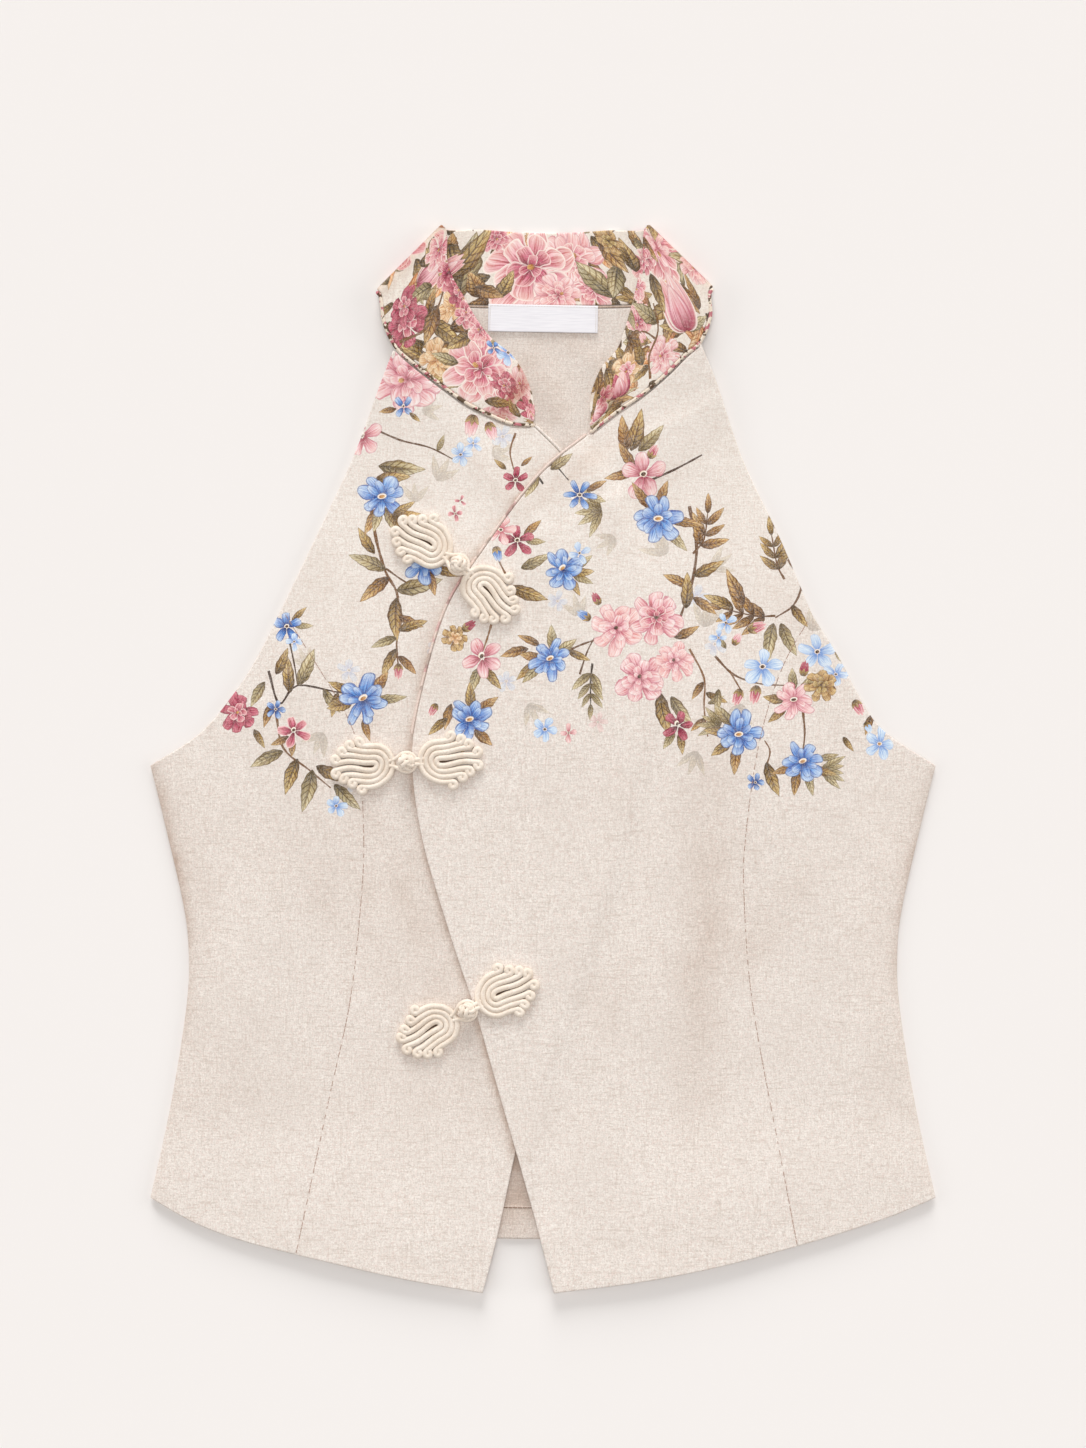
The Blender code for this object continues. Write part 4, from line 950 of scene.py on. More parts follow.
# Materials
class Look:
    """A material's node tree with short ways to add and link nodes."""

    def __init__(self, name, **settings):
        self.material = bpy.data.materials.new(name)
        self.material.use_nodes = True
        self.tree = self.material.node_tree
        self.shader = self.tree.nodes["Principled BSDF"]
        for key, value in settings.items():
            self.shader.inputs[key.replace("_", " ")].default_value = value

    def add(self, kind, values=None, **settings):
        node = self.tree.nodes.new("ShaderNode" + kind)
        for key, value in settings.items():
            setattr(node, key, value)
        for key, value in (values or {}).items():
            self.feed(node.inputs[key], value)
        return node

    def feed(self, socket, value):
        if isinstance(value, bpy.types.NodeSocket):
            self.tree.links.new(value, socket)
        else:
            socket.default_value = value

    def place(self):
        return self.add("TexCoord").outputs["Object"]

    def stored(self, name, *outputs):
        """Outputs of an attribute that the mesh carries."""
        node = self.add("Attribute", attribute_name=name)
        return [node.outputs[output] for output in outputs]

    def noise(self, scale, detail=2.0, rough=0.5, where=None):
        """Noise with a scale in cycles a metre: one number, or one each along x, y and z."""
        scale = scale if isinstance(scale, tuple) else (scale, scale, scale)
        mapping = self.add("Mapping", {"Vector": where or self.place(), "Scale": scale})
        values = {"Vector": mapping.outputs[0], "Scale": 1.0, "Detail": detail, "Roughness": rough}
        return self.add("TexNoise", values).outputs["Fac"]

    def span(self, value, low, high, to_low=0.0, to_high=1.0, smooth=False):
        values = {"Value": value, "From Min": low, "From Max": high, "To Min": to_low, "To Max": to_high}
        kind = "SMOOTHSTEP" if smooth else "LINEAR"
        return self.add("MapRange", values, interpolation_type=kind).outputs["Result"]

    def tint(self, base, colour, value, low, high, share):
        """Mixes a colour into the base up to share, as the value goes from low to high."""
        return self.mix(self.span(value, low, high, 0.0, share), base, colour)

    def math(self, operation, a, b=0.0):
        return self.add("Math", {0: a, 1: b}, operation=operation).outputs[0]

    def times(self, a, b):
        return self.math("MULTIPLY", a, b)

    def sum(self, a, b):
        return self.math("ADD", a, b)

    def mix(self, share, a, b, blend="MIX"):
        """Mixes b into a; each is a socket or an sRGB colour."""
        node = self.add("Mix", data_type="RGBA", blend_type=blend)
        self.feed(node.inputs[0], share)
        for socket, value in ((node.inputs[6], a), (node.inputs[7], b)):
            self.feed(socket, value if isinstance(value, bpy.types.NodeSocket) else (*linear(*value), 1.0))
        return node.outputs[2]

    def colour(self, value):
        self.feed(self.shader.inputs["Base Color"], value)

    def crevice_shade(self, base, colour, reach, share):
        """Painted shade, from ambient occlusion, where the surface turns in on itself."""
        open_share = self.add("AmbientOcclusion", {"Distance": reach}, samples=8).outputs["AO"]
        return self.mix(self.span(open_share, 0.08, 0.50, share, 0.0), base, colour, "MULTIPLY")

    def bump(self, height, distance, strength=1.0):
        node = self.add("Bump", {"Height": height, "Distance": distance, "Strength": strength})
        self.feed(self.shader.inputs["Normal"], node.outputs[0])


ROSY = (0.88, 0.77, 0.73)
COOL = (0.86, 0.85, 0.83)
SPECK = (0.70, 0.62, 0.56)
# Colours of the painted light and the painted shade mixed into the linen
PAINTED_LIGHT = (0.985, 0.955, 0.925)
SHADE = (0.74, 0.61, 0.51)


def linen_look(name, pale, deep, fleck, printed=True):
    """Heathered plain weave: uneven threads both ways, slubs and soft mottling, printed in places, with
    painted light across the upper chest and painted shade where the mesh asks for it.
    """
    look = Look(name, Roughness=0.92, Sheen_Weight=0.10, Sheen_Roughness=0.5)
    weft = look.noise((320, 1250, 60), 2.0, 0.75)
    warp = look.noise((1250, 300, 60), 2.0, 0.75)
    slub_weft = look.noise((90, 1000, 60), 2.0)
    slub_warp = look.noise((1000, 80, 60), 2.0)
    grain = look.noise((1250, 1250, 60), 2.0, 0.8)
    threads = look.sum(look.sum(weft, warp), look.times(grain, 1.6))
    base = look.mix(look.span(threads, 1.42, 2.18), deep, pale)
    base = look.tint(base, fleck, slub_weft, 0.57, 0.70, 0.40)
    base = look.tint(base, fleck, slub_warp, 0.58, 0.72, 0.34)
    base = look.tint(base, ROSY, look.noise((860, 760, 60), 3.0, 0.7), 0.50, 0.66, 0.40)
    base = look.tint(base, COOL, look.noise((640, 780, 40), 3.0, 0.7), 0.52, 0.70, 0.24)
    base = look.tint(base, SPECK, look.noise((900, 1100, 50), 1.0), 0.62, 0.74, 0.40)
    base = look.tint(base, deep, look.noise(17, 3.0, 0.5), 0.42, 0.70, 0.20)
    height = look.sum(look.sum(weft, warp), grain)
    if printed:
        ink, cover = look.stored("ink", "Color", "Alpha")
        rim, rim_share = look.stored("rim", "Color", "Alpha")
        u, v, seed = look.add("SeparateXYZ", {0: look.stored("stroke", "Vector")[0]}).outputs
        leafy = look.math("GREATER_THAN", seed, 1.0)
        wide = look.math("ABSOLUTE", v)
        deep_ink = look.mix(1.0, ink, ink, "MULTIPLY")
        pale_ink = look.mix(1.0, ink, ink, "SCREEN")
        dark_ink = look.mix(1.0, deep_ink, ink, "MULTIPLY")

        def brush(along, across, shift):
            """Streaks in a stroke's own u and v, different in each stroke."""
            place = {0: look.times(u, along), 1: look.times(v, across), 2: look.times(seed, shift)}
            return look.noise(1, 2.0, 0.6, look.add("CombineXYZ", place).outputs[0])

        body = look.tint(ink, pale_ink, brush(1.2, 3.0, 37), 0.44, 0.58, 0.74)
        body = look.tint(body, deep_ink, brush(1.0, 6.5, 53), 0.49, 0.63, 0.80)
        body = look.tint(body, dark_ink, brush(1.3, 8.0, 71), 0.54, 0.64, 0.80)
        body = look.tint(body, deep_ink, u, 0.40, 0.0, 0.5)
        phase = look.math("SUBTRACT", look.times(u, 44.0), look.times(wide, 8.0))
        vein = look.times(look.span(look.math("SINE", phase), 0.55, 0.9), leafy)
        rib = look.times(look.span(wide, 0.14, 0.04), leafy)
        body = look.mix(look.times(look.math("MAXIMUM", vein, rib), 0.8), body, dark_ink)
        beside, end = look.span(wide, 0.70, 0.96, smooth=True), look.span(u, 0.90, 1.0, smooth=True)
        edge = look.math("MAXIMUM", beside, end)
        body = look.mix(look.times(edge, rim_share), body, rim)
        body = look.tint(body, pale, threads, 1.7, 2.3, 0.22)
        worn = look.span(look.noise(140, 3.0, 0.6), 0.35, 0.65, 0.93, 1.0)
        base = look.mix(look.times(cover, worn), base, body)
        # Painted light: printed cloth is lightened a little across the upper chest, as if more light fell
        # there
        upper = look.add("SeparateXYZ", {0: look.place()}).outputs["Y"]
        rise, fall = look.span(upper, 0.0, 0.13, 0.0, 0.30), look.span(upper, 0.20, 0.24, 0.30, 0.0)
        light = look.math("MINIMUM", rise, fall)
        base = look.mix(light, base, PAINTED_LIGHT, "SOFT_LIGHT")
    # Painted shade: the colour is darkened towards SHADE where the mesh's shade attribute asks, patchy by
    # noise
    painted_shade, = look.stored("painted_shade", "Fac")
    patchy = look.span(look.noise(34, 3.0, 0.6), 0.35, 0.65, 0.15, 0.36)
    base = look.mix(look.times(painted_shade, patchy), base, SHADE, "MULTIPLY")
    look.colour(base)
    look.bump(height, 0.00012, 0.55)
    return look.material


def cord_look():
    """Cream rolled fabric cord, with fine threads along it and a slight sheen."""
    look = Look("cord", Roughness=0.62, Sheen_Weight=0.25, Sheen_Roughness=0.4)
    fine = look.noise(900, 3.0, 0.7)
    cloud = look.noise(120, 3.0)
    base = look.mix(look.span(cloud, 0.3, 0.7), (0.965, 0.92, 0.87), (0.92, 0.86, 0.795))
    base = look.tint(base, (0.84, 0.76, 0.68), fine, 0.45, 0.7, 0.55)
    # Painted shade in the grooves between the cords
    look.colour(look.crevice_shade(base, (0.48, 0.36, 0.26), 0.0013, 0.95))
    look.bump(fine, 0.00012, 0.7)
    return look.material


def label_look():
    """Plain white woven tape with fine ribs across."""
    look = Look("label", Roughness=0.7)
    ribs = look.noise((90, 2200, 60), 2.0)
    base = look.mix(look.span(ribs, 0.35, 0.7), (0.955, 0.945, 0.96), (0.91, 0.90, 0.92))
    look.colour(base)
    look.bump(ribs, 0.00006, 0.4)
    return look.material


def piping_look(name, often, pale, deep, marks=1.0):
    """Bias piping cut from the printed cloth: cream with short dashes of its flowers."""
    look = Look(name, Roughness=0.88)
    pink = look.noise(often, 2.0)
    elsewhere = look.add("Mapping", {"Vector": look.place(), "Location": (3, 5, 7)}).outputs[0]
    green = look.noise(1.2 * often, 2.0, where=elsewhere)
    fine = look.noise(1500, 2.0)
    base = look.mix(look.span(fine, 0.3, 0.7), pale, deep)
    base = look.tint(base, (0.74, 0.34, 0.42), pink, 0.55, 0.58, 0.85 * marks)
    base = look.tint(base, (0.33, 0.23, 0.12), green, 0.56, 0.585, 0.95 * marks)
    look.colour(base)
    look.bump(fine, 0.00008, 0.5)
    return look.material


def thread_look(name, pale, deep):
    """Thread, or a dark piece that paints the shade in a frog's slot, coloured between two close colours."""
    look = Look(name, Roughness=0.7)
    look.colour(look.mix(look.noise(2500, 1.0), pale, deep))
    return look.material


WEAVE = ((0.98, 0.951, 0.923), (0.84, 0.794, 0.758), (0.78, 0.71, 0.655))
LINEN = linen_look("linen", *WEAVE)
COLLAR_LINEN = linen_look("printed_cloth", (0.98, 0.95, 0.91), (0.90, 0.85, 0.80), (0.85, 0.78, 0.72))
PLAIN_LINEN = linen_look("plain_linen", *WEAVE, printed=False)
CORD = cord_look()
LABEL = label_look()
PIPING = piping_look("piping", 270, (0.96, 0.91, 0.85), (0.89, 0.82, 0.74))
BACK_PIPING_LOOK = piping_look("back_piping", 60, (0.86, 0.79, 0.73), (0.66, 0.54, 0.46), 0.0)
EDGE_PIPING_LOOK = piping_look("edge_piping", 90, (0.93, 0.87, 0.83), (0.84, 0.74, 0.69), 0.4)
THREAD = thread_look("label_thread", (0.93, 0.91, 0.90), (0.82, 0.79, 0.77))
SEAM_THREAD = thread_look("seam_thread", (0.72, 0.58, 0.51), (0.60, 0.45, 0.38))
# The dark colour of the pieces that paint the shade in the frogs' slots
SLOT_SHADE = thread_look("frog_slot_shade", (0.36, 0.25, 0.16), (0.28, 0.19, 0.11))
HEM_THREAD = thread_look("hem_thread", (0.52, 0.39, 0.29), (0.42, 0.30, 0.22))


# The panels
ROLL_REACH = 7.0
ROLL_FOOT = 1.3
HEM_DEPTH = 18


def on_height(top, drop=None):
    """Lifts plan points to a height function, less a drop such as a rolled side."""

    def place(plan):
        height = top(*plan.T)
        if drop is not None:
            height = drop(plan, height)
        return np.column_stack([plan, height])

    return place


def side_roll(line):
    """Rounds the cloth down to the floor along a side seam."""

    def drop(plan, height):
        near = np.clip(1 - np.abs(distance_to(line, *plan.T)) / ROLL_REACH, 0, 1)
        return ROLL_FOOT + (height - ROLL_FOOT) * np.sqrt(1 - near**2)

    return drop


def hollow_shade(side=None, strength=1.5, under=False):
    """How much shade is painted on the cloth: in hollows, at the waist's side seam and, as a painted shadow,
    under the overlap's edge.
    """

    def shade(x, y):
        total = ridges(SHADE_PATCHES, x, y)
        if side is not None:
            away = distance_to(side, x, y)
            waist = strength * (0.25 + bell((y + 65) / 60))
            total = total + waist * (0.85 * bell(away / 4) + 0.22 * bell(away / 18))
        if under:
            away = distance_to(OVERLAP_LINE, x, y)
            total = total + 1.3 * bell(away / 2.2) + 0.4 * bell(away / 8)
        return total

    return shade


def left_shade(x, y):
    """Painted shade in the overlap's hollows, without the painted shadow that it throws on the underlap."""
    return ridges([fold for fold in SHADE_PATCHES if fold.x > -70 or fold.y > 0], x, y)


def seam(rows, side):
    """A princess seam's line for the panel on one side of it."""
    return offset(spaced(rows), -side * SEAM_GAP)


def make_panels():
    """The four front panels: two of the underlap's side and two of the overlap's."""
    right, left = print_of_right_front(), print_of_left_front()
    side = spaced(SIDE_LEFT)
    side_right = side * (-1, 1)
    neck_right, neck_left = offset(spaced(NECK_RIGHT[2:]), -1.6), offset(spaced(NECK_LEFT[2:]), 1.6)
    for name, lines, place, motifs, shade, rests_on in (
        ("front_right_side",
         (spaced(HEM_SIDE_RIGHT), seam(PRINCESS_RIGHT, 1), spaced(ARMHOLE_RIGHT)[::-1], side_right[::-1]),
         on_height(front_top, side_roll(side_right)), right, hollow_shade(side_right, under=True), ("back",)),
        ("front_left_side",
         (spaced(HEM_SIDE_LEFT), side, spaced(ARMHOLE_LEFT), seam(PRINCESS_LEFT, -1)[::-1]),
         on_height(front_top, side_roll(side)), left, hollow_shade(side, 0.9), ("back",)),
        ("front_right_centre",
         (spaced(HEM_CENTRE_RIGHT), spaced(UNDERLAP_EDGE), neck_right[::-1],
          spaced(ARMHOLE_RIGHT_UPPER)[::-1], seam(PRINCESS_RIGHT, -1)[::-1]),
         on_height(front_top), right, hollow_shade(under=True), ("back",)),
        ("front_left_centre",
         (spaced(HEM_CENTRE_LEFT), seam(PRINCESS_LEFT, 1), spaced(ARMHOLE_LEFT_UPPER), neck_left,
          spaced(OVERLAP_EDGE)[::-1]),
         on_height(overlap_top), left, left_shade, ("front_right_centre", "back")),
    ):
        shell(name, ring_of(*lines), place, LINEN, front=motifs, shade=shade, rests_on=rests_on)


def stitch(plan, heights, radius):
    """A short tube of thread over a few plan points."""
    return swept(np.column_stack([plan, heights]), radius, 6)


def make_seam_stitches():
    """Short stitches, some hidden in the cloth, along both princess seams."""
    pick = random.Random(3)
    tubes = []
    for rows in (PRINCESS_RIGHT, PRINCESS_LEFT):
        line = curve_through(rows)
        line = evenly(line, int(lengths_along(line)[-1] / 0.7))
        at = 2
        while at < len(line) - 6:
            step = pick.randint(2, 4)
            path = line[at:at + step + 1]
            sunk = np.array([-0.06] + [0.02] * (step - 1) + [-0.06])
            tubes.append(stitch(path, front_top(*path.T) + sunk, 0.17))
            at += step + pick.choice((1, 1, 2, 5))
    cords_object("seam_stitches", tubes, SEAM_THREAD, replaces=False)


def back_hem_line(x):
    """The back's hem is a shallow curve."""
    return -263 + 23 * (x / 215) ** 2


def make_back():
    """The back, its turned-up hem and the hem's stitches."""
    hem_x = np.linspace(-213.5, 213.5, 180)
    hem = np.column_stack([hem_x, back_hem_line(hem_x)])
    side = spaced(SIDE_LEFT) - (1.5, 0)
    arm_left = offset(joined(spaced(ARMHOLE_LEFT), spaced(ARMHOLE_LEFT_UPPER)), 4)[3:]
    arm_right = offset(joined(spaced(ARMHOLE_RIGHT), spaced(ARMHOLE_RIGHT_UPPER)), -4)[3:]
    neck = offset(spaced(NECK_BACK), -0.9)
    neck = neck[(neck[:, 0] > -76) & (neck[:, 0] < 79)][::-1]
    outline = np.vstack([hem[:-1], side, arm_left, neck, arm_right[::-1], (side * (-1, 1))[:0:-1]])

    def flat(x, y):
        return 1.1 + ridges(NECK_FOLDS, x, y)

    # Painted shade on the back and its hem
    def shade(x, y):
        return ridges(BACK_SHADE_PATCHES, x, y)

    shell("back", outline, on_height(flat), PLAIN_LINEN, 1.05, step=5.0, shade=shade, rests_on=())
    lower = np.column_stack([hem_x * 0.974, back_hem_line(hem_x) + 0.5])
    upper = lower[::-1] + (0, HEM_DEPTH)
    shell("back_hem", np.vstack([lower, upper]), on_height(lambda x, y: 1.95 + 0.05 * ripple(x, y, 14, 9)),
          PLAIN_LINEN, 0.8, step=4.0, shade=shade)
    tubes = []
    for x in np.arange(-205, 205, 2.6):
        ends = np.array([x - 0.95, x, x + 0.95])
        plan = np.column_stack([ends, back_hem_line(ends) + HEM_DEPTH - 0.8])
        tubes.append(stitch(plan, (2.0, 2.1, 2.0), 0.24))
    cords_object("hem_stitches", tubes, HEM_THREAD, replaces=False)


# The collar, worked out on its unrolled band
def eased(line, shift, reach):
    """A line moved at its start, and less and less over its first points."""
    fade = 1 - smooth_step(np.arange(len(line)) / reach)
    return line + fade[:, None] * np.append(shift, np.zeros(line.shape[1] - len(shift)))


def collar_band():
    """Seam and top lines of the collar's outer face, from its right end round to its left end."""
    leaf_points, back_points = 65, 57

    def leaf_lines(seam_rows, top_rows):
        lower, upper = [evenly(curve_through(rows), leaf_points) for rows in (seam_rows, top_rows)]
        lower = lower + unit(upper - lower) * (NECK_PIPING + SEAM_GAP)
        height = FOLD_HEIGHT + (END_HEIGHT - FOLD_HEIGHT) * smooth_step(np.linspace(0, 1, leaf_points))
        return [np.column_stack([line, height]) for line in (lower, upper)]

    def half(leaf_pair, back_pair, outward):
        """One side's lower and upper lines, from the leaf round the fold to the middle of the back."""
        radius = 0.5 * FOLD_HEIGHT
        fold = leaf_pair[1][0, :2] - leaf_pair[0][0, :2]
        normal = outward * np.array([fold[1], -fold[0]]) / np.linalg.norm(fold)
        lines = []
        for front_line, back_line in zip(leaf_pair, back_pair):
            front_line = eased(front_line, -normal * radius, 12)
            bend = [front_line[0] + np.append(normal * radius * sin, radius * (cos - 1))
                    for cos, sin in map(toward, np.arange(12, 180, 12))]
            back_line = eased(back_line, front_line[0, :2] - back_line[0, :2], 12)
            lines.append(np.vstack([back_line[::-1], bend[::-1], front_line]))
        return lines

    lower = evenly(curve_through(NECK_BACK), back_points) + (0, BACK_PIPING + SEAM_GAP)
    upper = evenly(curve_through(COLLAR_TOP_BACK), back_points)
    back_pair = [np.hstack([line, np.zeros((back_points, 1))]) for line in (lower, upper)]
    middle = back_points // 2 + 1
    right = half(leaf_lines(NECK_RIGHT, COLLAR_TOP_RIGHT), [line[:middle] for line in back_pair], -1)
    left = half(leaf_lines(NECK_LEFT, COLLAR_TOP_LEFT), [line[::-1][:middle] for line in back_pair], 1)
    return [joined(r[::-1], l) for r, l in zip(right, left)]


BAND_HEIGHT = 42.0


def make_collar():
    """The collar, printed on both faces as a flat band and then bent into place."""
    lower, upper = collar_band()
    along = 0.5 * (lengths_along(lower) + lengths_along(upper))

    def place(plan):
        """Bends points of the flat band into the collar, a little crowned on its leaves."""
        s, t = along[-1] - plan[:, 0], plan[:, 1] / BAND_HEIGHT
        foot, head = [np.column_stack([np.interp(s, along, column) for column in line.T])
                      for line in (lower, upper)]
        points = foot * (1 - t[:, None]) + head * t[:, None]
        on_leaf = np.clip(points[:, 2] - COLLAR_CLOTH, 0, 1)
        waves = 0.22 * ripple(s, plan[:, 1], 34, 31) + 0.07 * ripple(s, plan[:, 1], 12, 33)
        points[:, 2] += on_leaf * (0.7 * np.sin(math.pi * t) + waves)
        return points

    turns = [along[-1] - along[k] for k in np.flatnonzero(np.diff(np.sign(lower[:, 2] - 0.5 * FOLD_HEIGHT)))]

    # Painted shade where the band rolls over at the collar's folds
    def shade(x, y):
        return sum(2.2 * bell((x - turn) / 7) for turn in turns)

    steps = np.linspace(0, along[-1], 240)
    lower_edge, upper_edge = [np.column_stack([steps, 0 * steps + y]) for y in (0, BAND_HEIGHT)]
    outline = np.vstack([lower_edge, [(along[-1], y) for y in (10, 21, 32)],
                         upper_edge[::-1], [(0, y) for y in (32, 21, 10)]])
    shell("collar", outline, place, COLLAR_LINEN, 1.5, front=print_of_collar(),
          lining=print_of_collar_lining(), step=2.5, far_scale=1.0, shade=shade)


# Cords and pipings
PIPING_SHIFT = 0.95


def swept(path, radius, sides=12):
    """Points and faces of a round tube along a path, with domed ends."""
    path = np.asarray(path, float)
    radius = np.broadcast_to(radius, len(path)).astype(float)
    tangent = unit(np.gradient(path, axis=0))
    side = unit(np.cross(tangent, (0, 0, 1.0)) + 1e-6)
    up = np.cross(side, tangent)
    angles = np.linspace(0, 2 * math.pi, sides, endpoint=False)
    cos, sin = np.cos(angles)[:, None], np.sin(angles)[:, None]
    around = [cos * side[i] + sin * up[i] for i in range(len(path))]
    rings = [path[i] + radius[i] * around[i] for i in range(len(path))]
    for i, sign in ((0, -1), (-1, 1)):
        domes = [path[i] + radius[i] * (share * around[i] + sign * reach * tangent[i])
                 for share, reach in ((0.87, 0.5), (0.5, 0.87), (0.1, 1.0))]
        rings = domes[::-1] + rings if i == 0 else rings + domes
    points = np.vstack(rings)
    faces = []
    for i in range(len(rings) - 1):
        for k in range(sides):
            a, b = i * sides + k, i * sides + (k + 1) % sides
            faces.append((a, b, b + sides, a + sides))
    faces.append(tuple(range(sides))[::-1])
    faces.append(tuple(range((len(rings) - 1) * sides, len(rings) * sides)))
    return points, faces


def cords_object(name, tubes, look, replaces=True):
    """One piece from several tubes."""
    points, faces, count = [], [], 0
    for tube_points, tube_faces in tubes:
        points.append(tube_points)
        faces += [tuple(i + count for i in face) for face in tube_faces]
        count += len(tube_points)
    add_object(name, make_mesh(name, np.vstack(points), faces), look, replaces)


def make_pipings():
    """The narrow cords in the neck seam, the front ones round their fold, and along the front edges."""
    lower, upper = collar_band()
    for name, part, first, turned in (
        ("neck_piping_right", slice(0, 68), 64, slice(65, None)),
        ("neck_piping_left", slice(-68, None), -65, slice(None, -65)),
    ):
        line = lower[part]
        inward = np.tile((0, 0, -1.0), (len(line), 1))
        centre = lower[first] - (0, 0, 0.5 * FOLD_HEIGHT)
        inward[turned] = unit(centre - line[turned])
        line = line + PIPING_SHIFT * inward + PIPING_SHIFT * unit(line - upper[part])
        cords_object(name, [swept(line, 1.05)], PIPING)
    back = evenly(curve_through(NECK_BACK), 90)
    back = back[(back[:, 0] > -58) & (back[:, 0] < 61)]
    line = np.column_stack([back, np.full(len(back), 0.7)])
    cords_object("neck_piping_back", [swept(line, 0.6)], BACK_PIPING_LOOK)
    over = curve_through(OVERLAP_EDGE)
    over = evenly(offset(over[over[:, 1] > 12], 0.9), 110)[:-2]
    line = np.column_stack([over, overlap_top(*over.T) - 0.5])
    cords_object("overlap_piping", [swept(line, 0.7)], EDGE_PIPING_LOOK)
    under = curve_through(UNDERLAP_EDGE)
    under = evenly(offset(under[under[:, 1] > 150], -1.0), 30)[:-1]
    line = np.column_stack([under, front_top(*under.T) - 0.6])
    cords_object("underlap_piping", [swept(line, 0.8)], PLAIN_LINEN)


# Frog closures
Frog = namedtuple("Frog", "name x y loop_turn knot_turn loop_sway knot_sway")
FROGS = (
    Frog("neck", -46, 106, 147, -44, -1.0, 1.0),
    Frog("bust", -74.5, -2, 184, 3, 1.0, -0.8),
    Frog("waist", -41.5, -137.5, 208, 26, -0.8, 0.8),
)
CORD_RADIUS = 1.66
CORD_PITCH = 2.9
INNER_BEND = 2.15
LEG_ENDS = (33.2, 29.0, 24.4, 19.4)
SCROLL_START = 5.6
SCROLL_HALF = 12.6
CURL_RADIUS = 1.75
KNOT_LIFT = 4.7
KNOT_RADIUS = 3.4
KNOT_SPREAD = 1.28
KNOT_CORD = 1.22
LOOP_RADIUS = 5.3
LOOP_CORD = 1.15
STEM_CORD = 1.2


def scroll_line(level, pick):
    """One bent cord of a scroll in its own plane, along and across its axis, from curl to curl."""
    bend = INNER_BEND + level * CORD_PITCH
    centre = SCROLL_START + SCROLL_HALF
    arc = [(centre - bend * math.sin(a), bend * math.cos(a)) for a in np.linspace(0, math.pi, 9 + 4 * level)]
    line = arc
    for side in (1, -1):
        end = SCROLL_START + LEG_ENDS[level] + pick.uniform(-0.4, 0.4)
        drift = pick.uniform(-0.7, -0.4) if level == 0 else pick.uniform(-0.3, 0.1)
        count = max(3, int((end - centre) / 1.4))
        legs = [(a, side * (bend + drift * smooth_step((a - centre) / 12)))
                for a in np.linspace(centre, end, count)[1:]]
        reach = bend + drift
        start = -90
        curl = []
        for angle in np.arange(start, 215, 18):
            radius = CURL_RADIUS - 0.35 * (angle - start) / 300
            cos, sin = toward(angle)
            curl.append((end + radius * cos, side * (reach + CURL_RADIUS + radius * sin)))
        tail = legs + curl
        line = tail[::-1] + line if side == 1 else line + tail
    return np.array(line)


def placed(frog, turn, plan, sway=0.0):
    """Scroll points in the garment's plan, swaying a little sideways as they leave the knot."""
    cos, sin = toward(turn)
    beyond = np.clip((plan[:, 0] - 14) / 24, 0, 1)
    a = plan[:, 0]
    c = plan[:, 1] * (1 + 0.12 * beyond) + sway * np.sin(2 * math.pi * beyond)
    return np.column_stack([frog.x + a * cos - c * sin, frog.y + a * sin + c * cos])


def smoothed(line, rounds=2):
    """A line with its bumps averaged out and its ends kept."""
    for _ in range(rounds):
        line = np.vstack([line[:1], 0.25 * line[:-2] + 0.5 * line[1:-1] + 0.25 * line[2:], line[-1:]])
    return line


def over_cloth(plan, radius):
    """Heights that keep a cord of this radius on whatever cloth lies under it."""
    shifts = [(0, 0)] + [(dx, dy) for dx in (-1.2, 1.2) for dy in (-1.2, 1.2)]
    return np.max([highest_front(*(plan + shift).T) for shift in shifts], axis=0) + radius


def make_scroll(frog, turn, name, tail, sway, pick):
    """Four bent cords, the tail that joins them to the knot, and a dark piece in their slot that paints the
    shade there.
    """
    tubes = []
    for level in range(4):
        plan = placed(frog, turn, scroll_line(level, pick), sway)
        path = np.column_stack([plan, over_cloth(plan, CORD_RADIUS) - 0.1])
        path[:, 2] = smoothed(path[:, 2:], 6)[:, 0]
        path = evenly(smoothed(path), int(lengths_along(path)[-1] / 0.7))
        tubes.append(swept(path, CORD_RADIUS * (1 + 0.015 * np.sin(np.arange(len(path)) * 0.9)), 14))
    tubes += [swept(path, radius, 12) for path, radius in tail]
    # A dark spindle low in the slot, as painted shade for the deep gap between the cords
    head = SCROLL_START + SCROLL_HALF
    plan = placed(frog, turn, np.column_stack([np.linspace(head - 1.6, head + 7.5, 9), np.zeros(9)]), sway)
    slot = np.column_stack([plan, over_cloth(plan, 0.45)])
    slot_shade_tube = swept(slot, 0.25 + 0.85 * np.sin(np.linspace(0.5, math.pi, 9)), 8)
    cords_object(name + "_slot_shade", [slot_shade_tube], SLOT_SHADE, replaces=False)
    cords_object(name, tubes, CORD)


def knot_height(frog):
    """The middle of a knot, over the highest cloth near it."""
    x, y = np.meshgrid((-3, 0, 3), (-3, 0, 3))
    return float(highest_front(frog.x + x.ravel(), frog.y + y.ravel()).max()) + KNOT_LIFT


def loop_tail(frog, turn):
    """The loop's two cords: out from under the scroll and round the knot below its middle."""
    angles = np.radians(np.linspace(34, 326, 33))
    ring = LOOP_RADIUS * np.column_stack([np.cos(angles), np.sin(angles)])
    lead = np.array([(SCROLL_START + 3.4, 1.35), (SCROLL_START + 2.0, 1.4), (SCROLL_START + 0.6, 1.9)])
    plan = placed(frog, turn, np.vstack([lead, ring, (lead * (1, -1))[::-1]]))
    height = np.full(len(plan), knot_height(frog) - 2.8)
    ground = over_cloth(plan, 1.2)
    height[:3] = ground[:3] + (1.0, 0.7, 0.3)
    height[-3:] = ground[-3:] + (0.3, 0.7, 1.0)
    path = smoothed(np.column_stack([plan, height]), 3)
    return [(evenly(path, 70), LOOP_CORD)]


